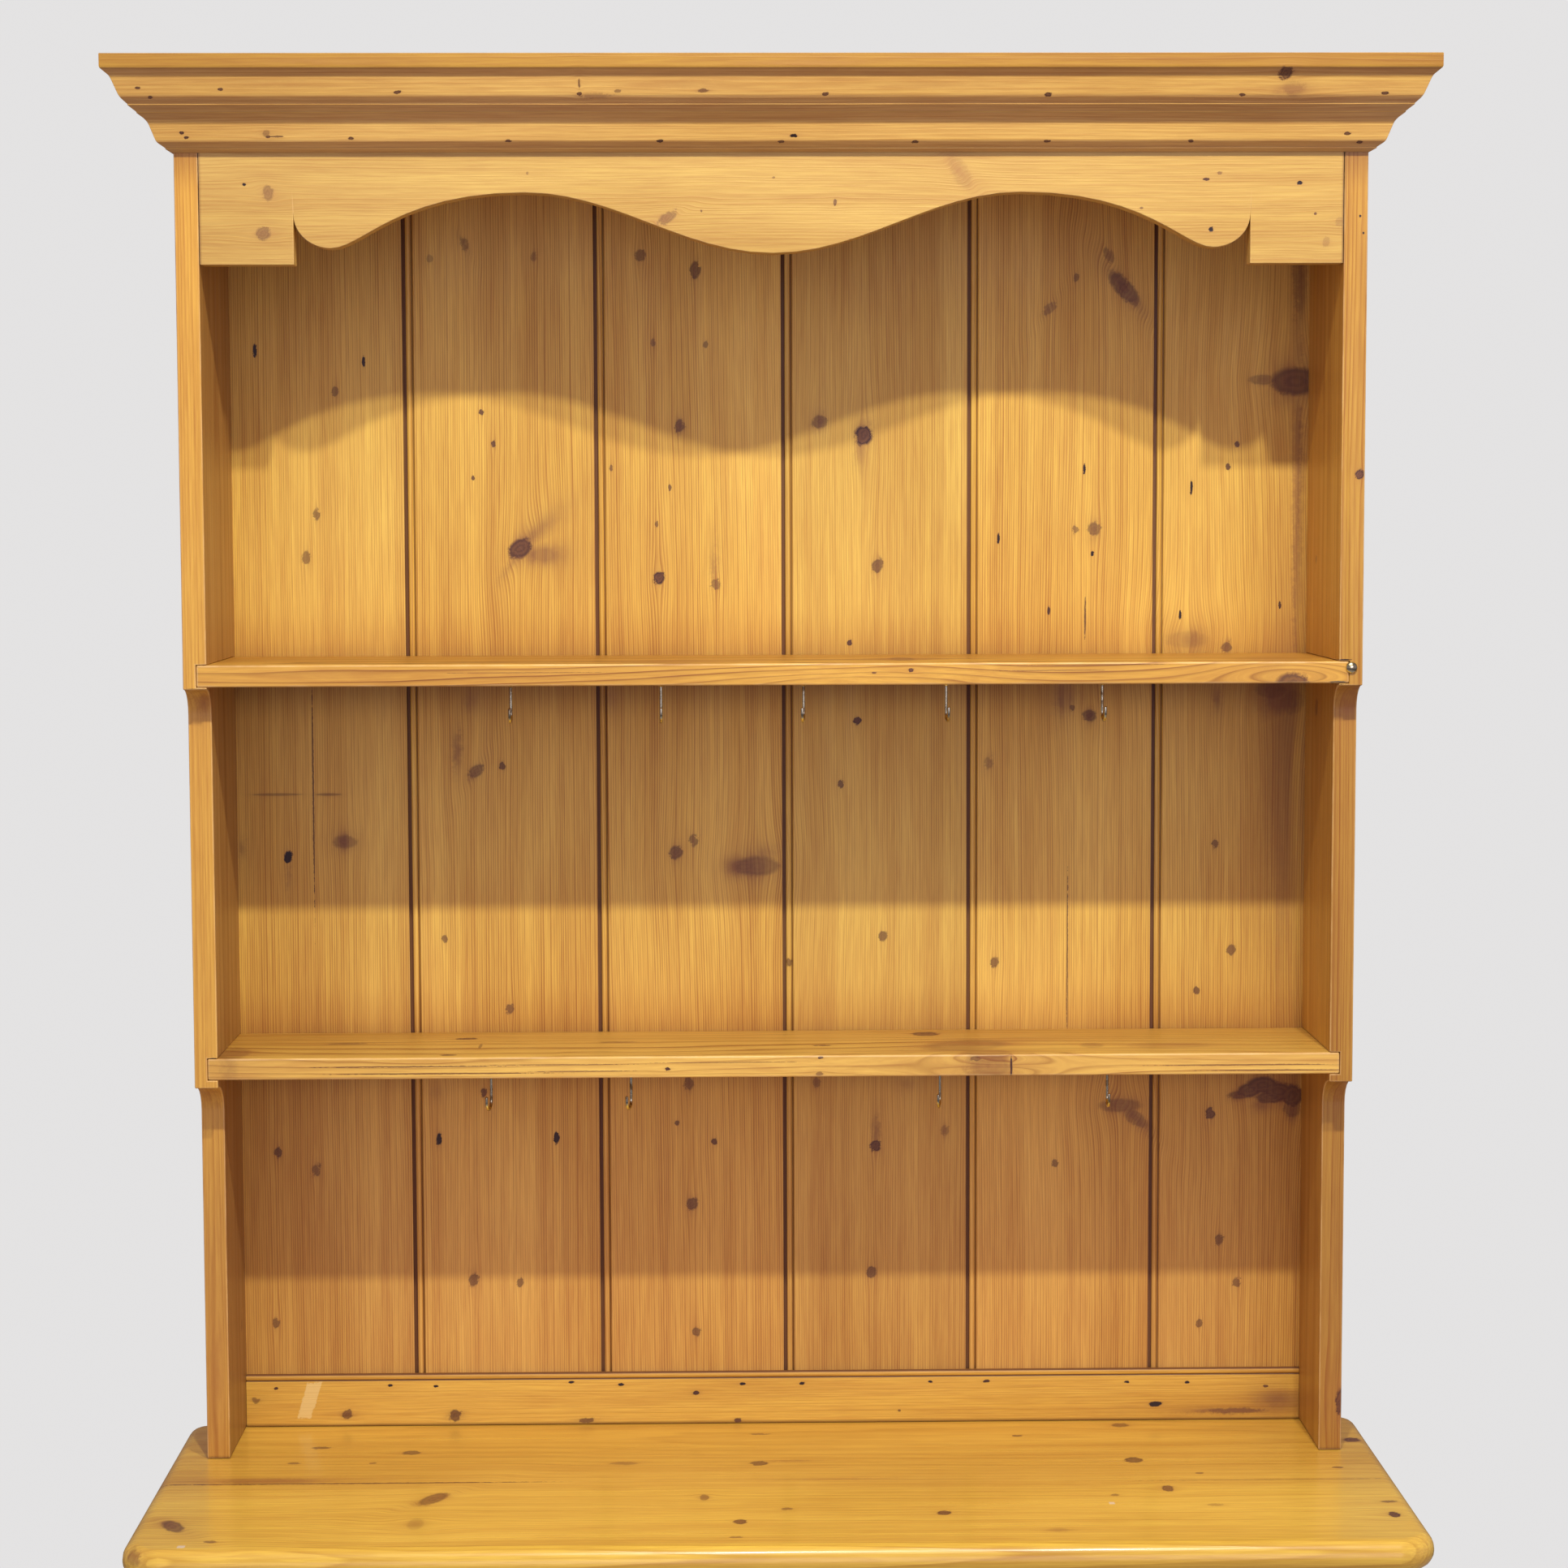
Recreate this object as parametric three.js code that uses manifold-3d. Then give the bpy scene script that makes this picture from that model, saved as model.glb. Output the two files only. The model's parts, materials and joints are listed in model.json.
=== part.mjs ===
// Pine welsh dresser: a rack of plate shelves under a wavy frieze and cornice, on a base with two
// drawers over a two-door cupboard. Millimetres, +Z up, front towards -Y, floor at z = 0.
import * as THREE from "three";
import { mergeVertices } from "three/addons/utils/BufferGeometryUtils.js";
import Module from "manifold-3d";

const wasm = await Module();
wasm.setup();

// Fits shared by the whole piece
const fitGap = 0.3; // between two pieces that are housed, glued or nailed together
const runGap = 1; // beside a drawer box, to the ends of its front
const overrun = 5; // how far a cutter passes the face that it cuts

// Rack: everything that stands on the worktop
const rackWidth = 1000;
const rackHeight = 1204;
const rackSideThickness = 20;
const backBoardThickness = 12;
const topSectionDepth = 177;
const middleSectionDepth = 152;
const bottomSectionDepth = 118;
const rackTopBoardThickness = 18;
const rebateWidth = 10;

// Shelves, let into the sides
const shelfThickness = 18.6;
const upperShelfTop = 701;
const lowerShelfTop = 361;
const shelfHousingDepth = 9;
const upperCoveDrop = 2; // plain edge between the shelf's underside and the cove below it
const upperCoveHeight = 22;
const lowerCoveDrop = 7;
const lowerCoveHeight = 25;

// Pegs under the rack's sides
const pegRadius = 5;
const pegLength = 14;
const pegSpacing = 60;

// Frieze: outline of its lower edge, measured down from the rack's top or across from its middle
const friezeThickness = 20;
const friezeEndHeight = 168;
const friezeEndWidth = 79;
const friezeTipHeight = 127;
const friezeLobeHeight = 154.5;
const friezeLobeFromTip = 31;
const friezeArchHeight = 108.5;
const friezeArchFromMiddle = 208;
const friezeMiddleHeight = 159;
const lobeHandleShare = 0.16;
const archHandleShare = 0.66;
const waveHandleShare = 0.364;
const tipHandleShare = 0.55;

// Cornice: corners of its section as shares of its projection and height, from the top down
const corniceHeight = 75.6;
const corniceProjection = 51;
const corniceCornerShares = [
  [1, 0.85],
  [0.86, 0.77],
  [0.733, 0.557],
  [0.35, 0.32],
  [0.233, 0.106],
];
const corniceRoundingShare = 0.15;
const corniceFilletHeight = 0.8;
const corniceFilletShares = [[], [], [0.3, 0.62], [], [0.55]]; // along the face below each corner

// Tongued and grooved back boards
const boardJointShares = [-0.3256, -0.1559, 0.0106, 0.1767, 0.3432]; // of the rack's width
const boardOpenJoint = 3.2;
const beadRadius = 2.5;
const quirkWidth = 2.2;
const quirkDepth = 2.6;
const tongueThickness = 4;
const tongueReach = 8;
const backRailHeight = 48;
const backRailThickness = 5;
const backRailBeadRadius = 2.9;
const backRailBeadEnd = 2.6; // quarter turns round the bead, where its quirk starts
const backRailQuirkHeight = 1;

// Cup hooks under the shelves and the dome-headed pin
const upperHookShares = [-0.2258, -0.0969, 0.0256, 0.1483, 0.2828]; // of the rack's width
const lowerHookShares = [-0.2478, -0.1256, 0.1448, 0.2917];
const upperHookTurns = [-1, 1, -6, 5, 5]; // degrees about the shank
const lowerHookTurns = [-12, -13, -9, 0];
const hookSetback = 40;
const hookWireRadius = 1.3;
const hookBendRadius = 7.5;
const hookDrop = 34;
const hookTipLength = 5;
const hookShankLength = 10;
const hookCollarRadius = 4.2;
const hookCollarThickness = 1.6;
const pinHeadRadius = 5;
const pinHeadHeight = 3;
const pinShankRadius = 0.9;
const pinShankLength = 9;
const pinFromSide = 9.6;
const pinBelowShelfTop = 5.3;

// Worktop
const baseHeight = 800;
const worktopWidth = 1066;
const worktopDepth = 383;
const worktopThickness = 28;
const worktopNoseRadius = 13;
const worktopCornerRadius = 34;
const worktopRearCornerRadius = 18;

// Base carcass and its face frame
const worktopOverhang = 25; // past each side of the carcass
const carcassBoardThickness = 20;
const faceFromBack = 358;
const faceFrameThickness = 20;
const stileWidth = 45;
const topRailHeight = 22;
const drawerOpeningHeight = 134;
const deckThickness = 20;
const plinthClearance = 35;
const bottomRailHeight = 65;
const bottomRailArch = 26;
const bottomRailArchInset = 30;
const tenonLength = 20;
const tenonThickness = 7;
const tenonShoulder = 4;
const sideTongueThickness = 6;
const sideTongueLength = 8;
const sideArchHeight = 60;
const sideFootLength = 55;
const housingDepth = 6;
const bottomBoardThickness = 18;
const baseShelfThickness = 18;
const baseShelfTop = 345;
const shelfStopGap = 1; // between the closed doors and the shelf that stops them
const backPanelThickness = 8;
const dividerThickness = 20;
const guideWidth = 24;
const guideHeight = 12;

// Drawers
const drawerGap = 1.5;
const drawerBottomGap = 2;
const drawerFrontThickness = 20;
const drawerWallThickness = 10;
const drawerWallHeight = 108;
const drawerRearGap = 4;
const drawerLap = 10;
const drawerBottomThickness = 5;
const drawerBottomLift = 8;
const grooveDepth = 5;

// Doors
const doorEndGap = 2;
const doorHingeGap = 3;
const doorMeetingGap = 3;
const doorThickness = 20;
const doorStileWidth = 58;
const doorBottomRailHeight = 72;
const panelTongueThickness = 6;
const panelTongueLength = 9;
const panelFieldMargin = 30;
const panelFieldRise = 6;
const panelRimRise = 1.5;

// Hinges: a knuckle proud of the face, with both leaves in the gap beside the door
const hingeLength = 54;
const hingeFromDoorEnd = 62;
const hingeKnuckleRadius = 3.5;
const hingePinRadius = 1.5;
const hingeAxisProud = 4.2;
const hingeLeafThickness = 1;
const hingeLeafFromAxis = 0.4;
const hingeLeafDepth = 15;
const hingeLeafSetback = 3.9;
const hingeKnuckleGap = 0.4;

// Turned knobs: radius share of the knob's radius, then share of its reach, from its seat outwards
const knobRadius = 18;
const knobReach = 28;
const knobSpigotRadius = 6;
const knobSpigotLength = 19;
const knobProfileShares = [
  [0.72, 0],
  [0.74, 0.09],
  [0.5, 0.2],
  [0.46, 0.34],
  [0.7, 0.48],
  [0.95, 0.6],
  [1, 0.72],
  [0.9, 0.86],
  [0.6, 0.96],
];
const doorKnobBelowTop = 190;

// Facets of the round shapes
const hookSides = 6;
const hookSteps = 20;
const turnedSides = 16;
const hingeSides = 12;
const arcSteps = 6;
const waveSteps = 12;

// Sizes that follow from the values above
const halfRack = rackWidth / 2;
const halfRackInside = halfRack - rackSideThickness;
const rackSideHeight = rackHeight - rackTopBoardThickness - fitGap;
const halfCarcass = worktopWidth / 2 - worktopOverhang;
const halfCarcassInside = halfCarcass - carcassBoardThickness;
const halfFaceOpening = halfCarcass - stileWidth;
const faceFrameRear = faceFromBack - faceFrameThickness;
const carcassTop = baseHeight - worktopThickness - fitGap;
const drawerOpeningTop = carcassTop - topRailHeight;
const deckTop = drawerOpeningTop - drawerOpeningHeight;
const deckUnderside = deckTop - deckThickness;
const cupboardFloor = plinthClearance + bottomRailHeight;
const doorBottom = cupboardFloor + doorEndGap;
const doorHeight = deckUnderside - doorEndGap - doorBottom;
const doorWidth = halfFaceOpening - doorHingeGap - doorMeetingGap / 2;

const pine = new THREE.MeshStandardMaterial({ color: 0xc98a45, roughness: 0.45, metalness: 0 });
const palePine = new THREE.MeshStandardMaterial({ color: 0xd9a55e, roughness: 0.5, metalness: 0 });
const boardPine = new THREE.MeshStandardMaterial({ color: 0xb47a3d, roughness: 0.5, metalness: 0 });
const innerPine = new THREE.MeshStandardMaterial({ color: 0xcfa871, roughness: 0.7, metalness: 0 });
const chrome = new THREE.MeshStandardMaterial({ color: 0xd8d8d4, roughness: 0.2, metalness: 1 });
const brass = new THREE.MeshStandardMaterial({ color: 0xb08d4c, roughness: 0.35, metalness: 1 });

// A closed geometry as a solid that can be cut and joined.
function solidOf(geometry) {
  geometry.deleteAttribute("normal");
  geometry.deleteAttribute("uv");
  const merged = mergeVertices(geometry);
  const vertProperties = new Float32Array(merged.attributes.position.array);
  const triVerts = new Uint32Array(merged.index.array);
  return new wasm.Manifold(new wasm.Mesh({ numProp: 3, vertProperties, triVerts }));
}

function cut(solid, ...cutters) {
  return cutters.reduce((rest, cutter) => rest.subtract(cutter), solid);
}

function join(solid, ...others) {
  return others.reduce((whole, other) => whole.add(other), solid);
}

function meshOf(name, solid, material) {
  const { vertProperties, triVerts } = solid.getMesh();
  const geometry = new THREE.BufferGeometry();
  geometry.setAttribute("position", new THREE.BufferAttribute(vertProperties, 3));
  geometry.setIndex(new THREE.BufferAttribute(triVerts, 1));
  const faceted = geometry.toNonIndexed();
  faceted.computeVertexNormals();
  const mesh = new THREE.Mesh(faceted, material);
  mesh.name = name;
  return mesh;
}

// A board from its lowest to its highest corner.
function block([x0, y0, z0], [x1, y1, z1]) {
  const geometry = new THREE.BoxGeometry(x1 - x0, y1 - y0, z1 - z0);
  geometry.translate((x0 + x1) / 2, (y0 + y1) / 2, (z0 + z1) / 2);
  return solidOf(geometry);
}

function inOrder(a, b) {
  return [Math.min(a, b), Math.max(a, b)];
}

function shapeOf(points) {
  return new THREE.Shape(points.map(([u, v]) => new THREE.Vector2(u, v)));
}

function extrude(shape, length, curveSegments = arcSteps) {
  return new THREE.ExtrudeGeometry(shape, { depth: length, bevelEnabled: false, curveSegments });
}

// A plan (x, y) raised from a height.
function raise(shape, bottom, height) {
  return solidOf(extrude(shape, height).translate(0, 0, bottom));
}

// A wavy elevation (x, z) with its rear face at a depth, brought forward by its thickness.
function bringForward(shape, rearY, thickness) {
  const geometry = extrude(shape, thickness, waveSteps);
  geometry.rotateX(Math.PI / 2);
  geometry.translate(0, rearY, 0);
  return solidOf(geometry);
}

// A section (y, z) run along X from its left end.
const sectionBasis = new THREE.Matrix4().makeBasis(
  new THREE.Vector3(0, 1, 0),
  new THREE.Vector3(0, 0, 1),
  new THREE.Vector3(1, 0, 0),
);
function runAcross(shape, leftX, length) {
  return solidOf(extrude(shape, length).applyMatrix4(sectionBasis).translate(leftX, 0, 0));
}

const alongY = new THREE.Vector3(0, 1, 0);
const alongZ = new THREE.Vector3(0, 0, 1);

// A round bar along an axis.
function bar(radius, length, sides, axis, centre) {
  const geometry = new THREE.CylinderGeometry(radius, radius, length, sides);
  geometry.applyQuaternion(new THREE.Quaternion().setFromUnitVectors(alongY, axis));
  return solidOf(geometry.translate(...centre));
}

// The cutter of a round hole for a bar, as deep on both sides of its mouth, its facets clear of it.
function hole(radius, depth, sides, axis, mouth) {
  const clear = (radius + fitGap) / Math.cos(Math.PI / sides);
  return bar(clear, 2 * (depth + fitGap), sides, axis, mouth);
}

// Points of an arc of an ellipse, between two angles in quarter turns.
function arcPoints([centreU, centreV], radiusU, radiusV, fromQuarter, toQuarter, steps = arcSteps) {
  return Array.from({ length: steps + 1 }, (_, i) => {
    const angle = ((fromQuarter + ((toQuarter - fromQuarter) * i) / steps) * Math.PI) / 2;
    return [centreU + radiusU * Math.cos(angle), centreV + radiusV * Math.sin(angle)];
  });
}

// Rack sides: the front edge steps back below each shelf through a cove.
function rackSide(side) {
  const upperCoveTop = upperShelfTop - shelfThickness - upperCoveDrop;
  const upperCoveFoot = upperCoveTop - upperCoveHeight;
  const lowerCoveTop = lowerShelfTop - shelfThickness - lowerCoveDrop;
  const lowerCoveFoot = lowerCoveTop - lowerCoveHeight;
  const upperStep = topSectionDepth - middleSectionDepth;
  const lowerStep = middleSectionDepth - bottomSectionDepth;
  const outline = shapeOf([
    [0, fitGap],
    [0, rackSideHeight],
    [-topSectionDepth, rackSideHeight],
    ...arcPoints([-topSectionDepth, upperCoveFoot], upperStep, upperCoveHeight, 1, 0),
    ...arcPoints([-middleSectionDepth, lowerCoveFoot], lowerStep, lowerCoveHeight, 1, 0),
    [-bottomSectionDepth, fitGap],
  ]);
  const inside = side * halfRackInside;
  const [left] = inOrder(inside, side * halfRack);
  const housingEnd = side * (halfRackInside + shelfHousingDepth);
  const [housingLow, housingHigh] = inOrder(inside - side * overrun, housingEnd);
  const housings = [upperShelfTop, lowerShelfTop].map((top) =>
    block(
      [housingLow, -topSectionDepth - overrun, top - shelfThickness - fitGap],
      [housingHigh, -backBoardThickness, top + fitGap],
    ),
  );
  const rebateEnd = side * (halfRackInside + rebateWidth);
  const [rebateLow, rebateHigh] = inOrder(inside - side * overrun, rebateEnd);
  const rebate = block(
    [rebateLow, -backBoardThickness - fitGap, -overrun],
    [rebateHigh, overrun, rackHeight],
  );
  const pegs = pegPlaces(side).map(([x, y]) =>
    bar(pegRadius, pegLength + pegRadius, turnedSides, alongZ, [x, y, (pegRadius - pegLength) / 2]),
  );
  const board = cut(runAcross(outline, left, rackSideThickness), ...housings, rebate);
  const pinned = side > 0 ? cut(board, pinHole()) : board;
  return join(pinned, ...pegs);
}

function pegPlaces(side) {
  const x = side * (halfRack - rackSideThickness / 2 + fitGap);
  const middle = -(bottomSectionDepth + backBoardThickness) / 2;
  return [-1, 1].map((end) => [x, middle + (end * pegSpacing) / 2]);
}

// The pin stands in the front edge of the right side, beside the upper shelf's end.
function pinPlace() {
  return [halfRack - pinFromSide, -topSectionDepth, upperShelfTop - pinBelowShelfTop];
}

function pinHole() {
  return hole(pinShankRadius, pinShankLength, turnedSides / 2, alongY, pinPlace());
}

function domeHeadPin() {
  const shank = pinShankLength - fitGap;
  const dome = arcPoints([0, 0], pinHeadRadius, pinHeadHeight, 0, 1);
  const profile = [[0, -shank], [pinShankRadius, -shank], [pinShankRadius, 0], ...dome];
  const points = profile.map(([r, h]) => new THREE.Vector2(r, h));
  points.at(-1).x = 0;
  return solidOf(new THREE.LatheGeometry(points, turnedSides).rotateX(Math.PI));
}

function rackShelf(top, depth, hookShares) {
  const reach = halfRackInside + shelfHousingDepth - fitGap;
  const underside = top - shelfThickness;
  const board = block(
    [-reach, -depth, underside],
    [reach, -backBoardThickness - fitGap, top],
  );
  const holes = hookShares.map((share) => {
    const mouth = [share * rackWidth, -depth + hookSetback, underside];
    return hole(hookWireRadius, hookShankLength, hookSides, alongZ, mouth);
  });
  return cut(board, ...holes);
}

// Frieze: two arches, a lobe at each end and a dip in the middle, between square end blocks.
function frieze() {
  const halfWidth = halfRackInside - fitGap;
  const tipX = halfRackInside - friezeEndWidth;
  const lobeX = tipX - friezeLobeFromTip;
  const archX = friezeArchFromMiddle;
  const top = rackSideHeight;
  const endZ = rackHeight - friezeEndHeight;
  const tipZ = rackHeight - friezeTipHeight;
  const lobeZ = rackHeight - friezeLobeHeight;
  const archZ = rackHeight - friezeArchHeight;
  const middleZ = rackHeight - friezeMiddleHeight;
  const riseRun = lobeX - archX;
  const outline = new THREE.Shape();
  outline.moveTo(-halfWidth, top);
  outline.lineTo(-halfWidth, endZ);
  outline.lineTo(-tipX, endZ);
  outline.lineTo(-tipX, tipZ);
  outline.bezierCurveTo(
    -tipX, tipZ + (lobeZ - tipZ) * tipHandleShare,
    -lobeX - friezeLobeFromTip * tipHandleShare, lobeZ,
    -lobeX, lobeZ,
  );
  outline.bezierCurveTo(
    -lobeX + riseRun * lobeHandleShare, lobeZ,
    -archX - riseRun * archHandleShare, archZ,
    -archX, archZ,
  );
  outline.bezierCurveTo(
    -archX * (1 - waveHandleShare), archZ,
    -archX * waveHandleShare, middleZ,
    0, middleZ,
  );
  outline.bezierCurveTo(
    archX * waveHandleShare, middleZ,
    archX * (1 - waveHandleShare), archZ,
    archX, archZ,
  );
  outline.bezierCurveTo(
    archX + riseRun * archHandleShare, archZ,
    lobeX - riseRun * lobeHandleShare, lobeZ,
    lobeX, lobeZ,
  );
  outline.bezierCurveTo(
    lobeX + friezeLobeFromTip * tipHandleShare, lobeZ,
    tipX, tipZ + (lobeZ - tipZ) * tipHandleShare,
    tipX, tipZ,
  );
  outline.lineTo(tipX, endZ);
  outline.lineTo(halfWidth, endZ);
  outline.lineTo(halfWidth, top);
  return bringForward(outline, -topSectionDepth + friezeThickness, friezeThickness);
}

// Back boards: tongue and bead on the left edge, groove on the right edge.
function backBoard(index) {
  const joints = boardJointShares.map((share) => share * rackWidth);
  const outer = halfRackInside + rebateWidth - fitGap;
  const hasBead = index > 0;
  const hasGroove = index < joints.length;
  const left = hasBead ? joints[index - 1] + boardOpenJoint / 2 : -outer;
  const right = hasGroove ? joints[index] - boardOpenJoint / 2 : outer;
  const front = -backBoardThickness;
  const middle = front / 2;
  const halfTongue = tongueThickness / 2;
  const tongueTip = left - tongueReach;
  const bead = [
    [tongueTip, middle + halfTongue],
    [tongueTip, middle - halfTongue],
    [left, middle - halfTongue],
    ...arcPoints([left + beadRadius, front + beadRadius], beadRadius, beadRadius, 2, 4),
    [left + 2 * beadRadius + quirkWidth / 2, front + quirkDepth],
    [left + 2 * beadRadius + quirkWidth, front],
  ];
  const halfGroove = halfTongue + fitGap;
  const grooveEnd = right - (tongueReach - boardOpenJoint + fitGap);
  const groove = [
    [right, middle - halfGroove],
    [grooveEnd, middle - halfGroove],
    [grooveEnd, middle + halfGroove],
    [right, middle + halfGroove],
  ];
  const plan = shapeOf([
    [left, 0],
    ...(hasBead ? [[left, middle + halfTongue], ...bead] : [[left, front]]),
    [right, front],
    ...(hasGroove ? groove : []),
    [right, 0],
  ]);
  return raise(plan, fitGap, rackSideHeight - fitGap);
}

function backRail() {
  const rear = -backBoardThickness - fitGap;
  const front = rear - backRailThickness;
  const radius = backRailBeadRadius;
  const bead = arcPoints([front + radius, backRailHeight - radius], radius, radius, 1, backRailBeadEnd);
  const [quirkRear, quirkTop] = bead.at(-1);
  const quirkFoot = quirkTop - backRailQuirkHeight;
  const section = shapeOf([
    [rear, fitGap],
    [rear, backRailHeight],
    ...bead,
    [quirkRear, quirkFoot],
    [front, quirkFoot],
    [front, fitGap],
  ]);
  const halfWidth = halfRackInside - fitGap;
  return runAcross(section, -halfWidth, 2 * halfWidth);
}

// Section of the cornice as (projection, height) from its foot, with rounded corners and small fillets.
function corniceSection() {
  const corners = corniceCornerShares.map(([p, h]) => [p * corniceProjection, h * corniceHeight]);
  const path = [[corniceProjection, corniceHeight], ...corners, [0, 0]];
  const between = (a, b, share) => [a[0] + (b[0] - a[0]) * share, a[1] + (b[1] - a[1]) * share];
  const points = [path[0]];
  for (let i = 1; i < path.length - 1; i++) {
    const start = between(path[i], path[i - 1], corniceRoundingShare);
    const end = between(path[i], path[i + 1], corniceRoundingShare);
    const curve = new THREE.QuadraticBezierCurve(
      new THREE.Vector2(...start),
      new THREE.Vector2(...path[i]),
      new THREE.Vector2(...end),
    );
    points.push(...curve.getPoints(arcSteps / 2).map(({ x, y }) => [x, y]));
    for (const share of corniceFilletShares[i - 1]) {
      const [p, h] = between(path[i], path[i + 1], share);
      points.push([p, h], [p, h - corniceFilletHeight]);
    }
  }
  return [...points, path.at(-1), [0, corniceHeight]];
}

// A length of cornice with its back on the plane y = 0 and its ends mitred where it turns.
function corniceLength(insideStart, insideEnd, mitreStart, mitreEnd) {
  const section = corniceSection().map(([p, h]) => [-p, h]);
  const reach = corniceProjection + overrun;
  const start = mitreStart ? insideStart - corniceProjection : insideStart;
  const end = mitreEnd ? insideEnd + corniceProjection : insideEnd;
  const run = runAcross(shapeOf(section), start, end - start);
  const wedge = (x, away) => {
    const tip = x + away * reach;
    const plan = shapeOf([[x, 0], [tip, -reach], [tip + away * reach, 0], [tip, overrun]]);
    return raise(plan, -overrun, corniceHeight + 2 * overrun);
  };
  const cutters = [];
  if (mitreStart) cutters.push(wedge(insideStart, -1));
  if (mitreEnd) cutters.push(wedge(insideEnd, 1));
  return cut(run, ...cutters);
}

// A cup hook hanging from the origin, its bend towards the front.
function cupHook() {
  const bendTop = -hookDrop + hookWireRadius + hookBendRadius;
  const path = new THREE.CurvePath();
  const at = (y, z) => new THREE.Vector3(0, y, z);
  path.add(new THREE.LineCurve3(at(0, hookShankLength), at(0, bendTop)));
  const steps = hookSteps / 2;
  const bend = arcPoints([-hookBendRadius, bendTop], hookBendRadius, hookBendRadius, 4, 2, steps);
  for (let i = 0; i < steps; i++)
    path.add(new THREE.LineCurve3(at(...bend[i]), at(...bend[i + 1])));
  path.add(new THREE.LineCurve3(
    at(-2 * hookBendRadius, bendTop),
    at(-2 * hookBendRadius, bendTop + hookTipLength),
  ));
  const round = Array.from({ length: hookSides }, (_, i) => {
    const angle = (2 * Math.PI * i) / hookSides;
    return [hookWireRadius * Math.cos(angle), hookWireRadius * Math.sin(angle)];
  });
  const sweep = { steps: hookSteps, extrudePath: path };
  const wire = solidOf(new THREE.ExtrudeGeometry(shapeOf(round), sweep));
  const collar = bar(hookCollarRadius, hookCollarThickness, 2 * hookSides, alongZ,
    [0, 0, -fitGap - hookCollarThickness / 2]);
  return join(wire, collar);
}

// Worktop: bullnosed at the front and sides, square along the wall.
function worktop() {
  const nose = worktopNoseRadius;
  const half = worktopWidth / 2 - nose;
  const front = nose - worktopDepth;
  const plan = shapeOf([
    ...arcPoints([-half + worktopCornerRadius - nose, front + worktopCornerRadius - nose],
      worktopCornerRadius - nose, worktopCornerRadius - nose, 2, 3),
    ...arcPoints([half - worktopCornerRadius + nose, front + worktopCornerRadius - nose],
      worktopCornerRadius - nose, worktopCornerRadius - nose, 3, 4),
    ...arcPoints([half - worktopRearCornerRadius + nose, -worktopRearCornerRadius],
      worktopRearCornerRadius - nose, worktopRearCornerRadius - nose, 0, 1),
    ...arcPoints([-half + worktopRearCornerRadius - nose, -worktopRearCornerRadius],
      worktopRearCornerRadius - nose, worktopRearCornerRadius - nose, 1, 2),
  ]);
  const geometry = new THREE.ExtrudeGeometry(plan, {
    depth: worktopThickness - 2 * nose,
    bevelThickness: nose,
    bevelSize: nose,
    bevelSegments: arcSteps,
  });
  geometry.translate(0, 0, baseHeight - worktopThickness + nose);
  const behind = block(
    [-worktopWidth, 0, baseHeight - worktopThickness - overrun],
    [worktopWidth, worktopDepth, baseHeight + overrun],
  );
  const pegHoles = [-1, 1].flatMap((side) =>
    pegPlaces(side).map(([x, y]) =>
      hole(pegRadius, pegLength, turnedSides, alongZ, [x, y, baseHeight]),
    ),
  );
  return cut(solidOf(geometry), behind, ...pegHoles);
}

// Base sides: housed for the shelf, deck and bottom, tongued into the stiles and cut to form feet.
function baseSide(side) {
  const inside = side * halfCarcassInside;
  const outside = side * halfCarcass;
  const [left] = inOrder(inside, outside);
  const front = -faceFrameRear + fitGap;
  const outline = shapeOf([
    [0, 0],
    [0, carcassTop],
    [front, carcassTop],
    [front, 0],
    [front + sideFootLength, 0],
    ...arcPoints([front + sideFootLength + sideArchHeight, 0], sideArchHeight, sideArchHeight, 2, 1),
    ...arcPoints([-sideFootLength - sideArchHeight, 0], sideArchHeight, sideArchHeight, 1, 0),
  ]);
  const across = (depth) => inOrder(inside - side * overrun, inside + side * depth);
  const [low, high] = across(housingDepth);
  const housing = (top, thickness) => block(
    [low, front - overrun, top - thickness - fitGap],
    [high, overrun, top + fitGap],
  );
  const [rebateLow, rebateHigh] = across(rebateWidth);
  const rebate = block(
    [rebateLow, -backPanelThickness - fitGap, -overrun],
    [rebateHigh, overrun, baseHeight],
  );
  const middleX = (inside + outside) / 2;
  const tongue = block(
    [middleX - sideTongueThickness / 2, front - sideTongueLength, cupboardFloor],
    [middleX + sideTongueThickness / 2, front + sideTongueThickness, carcassTop],
  );
  const board = cut(
    runAcross(outline, left, carcassBoardThickness),
    housing(cupboardFloor, bottomBoardThickness),
    housing(baseShelfTop, baseShelfThickness),
    housing(deckTop, deckThickness),
    rebate,
  );
  return join(board, tongue);
}

// A board housed between the base sides, from the back panel to a depth.
function housedBoard(top, thickness, depth) {
  const reach = halfCarcassInside + housingDepth - fitGap;
  return block([-reach, -depth, top - thickness], [reach, -backPanelThickness - 2 * fitGap, top]);
}

// The deck under the drawers: its front edge is the rail between drawers and doors.
function drawerDeck() {
  const railEnd = halfFaceOpening - fitGap;
  const board = housedBoard(deckTop, deckThickness, faceFrameRear - fitGap);
  const rail = block(
    [-railEnd, -faceFromBack, deckUnderside],
    [railEnd, -faceFrameRear + overrun, deckTop],
  );
  const guides = [-1, 1].map((side) => {
    const outer = side * (halfCarcassInside - fitGap);
    const [low, high] = inOrder(outer, outer - side * guideWidth);
    return block(
      [low, -faceFrameRear + fitGap, deckTop - overrun],
      [high, -backPanelThickness - 2 * fitGap, deckTop + guideHeight],
    );
  });
  return join(board, rail, ...guides);
}

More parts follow.
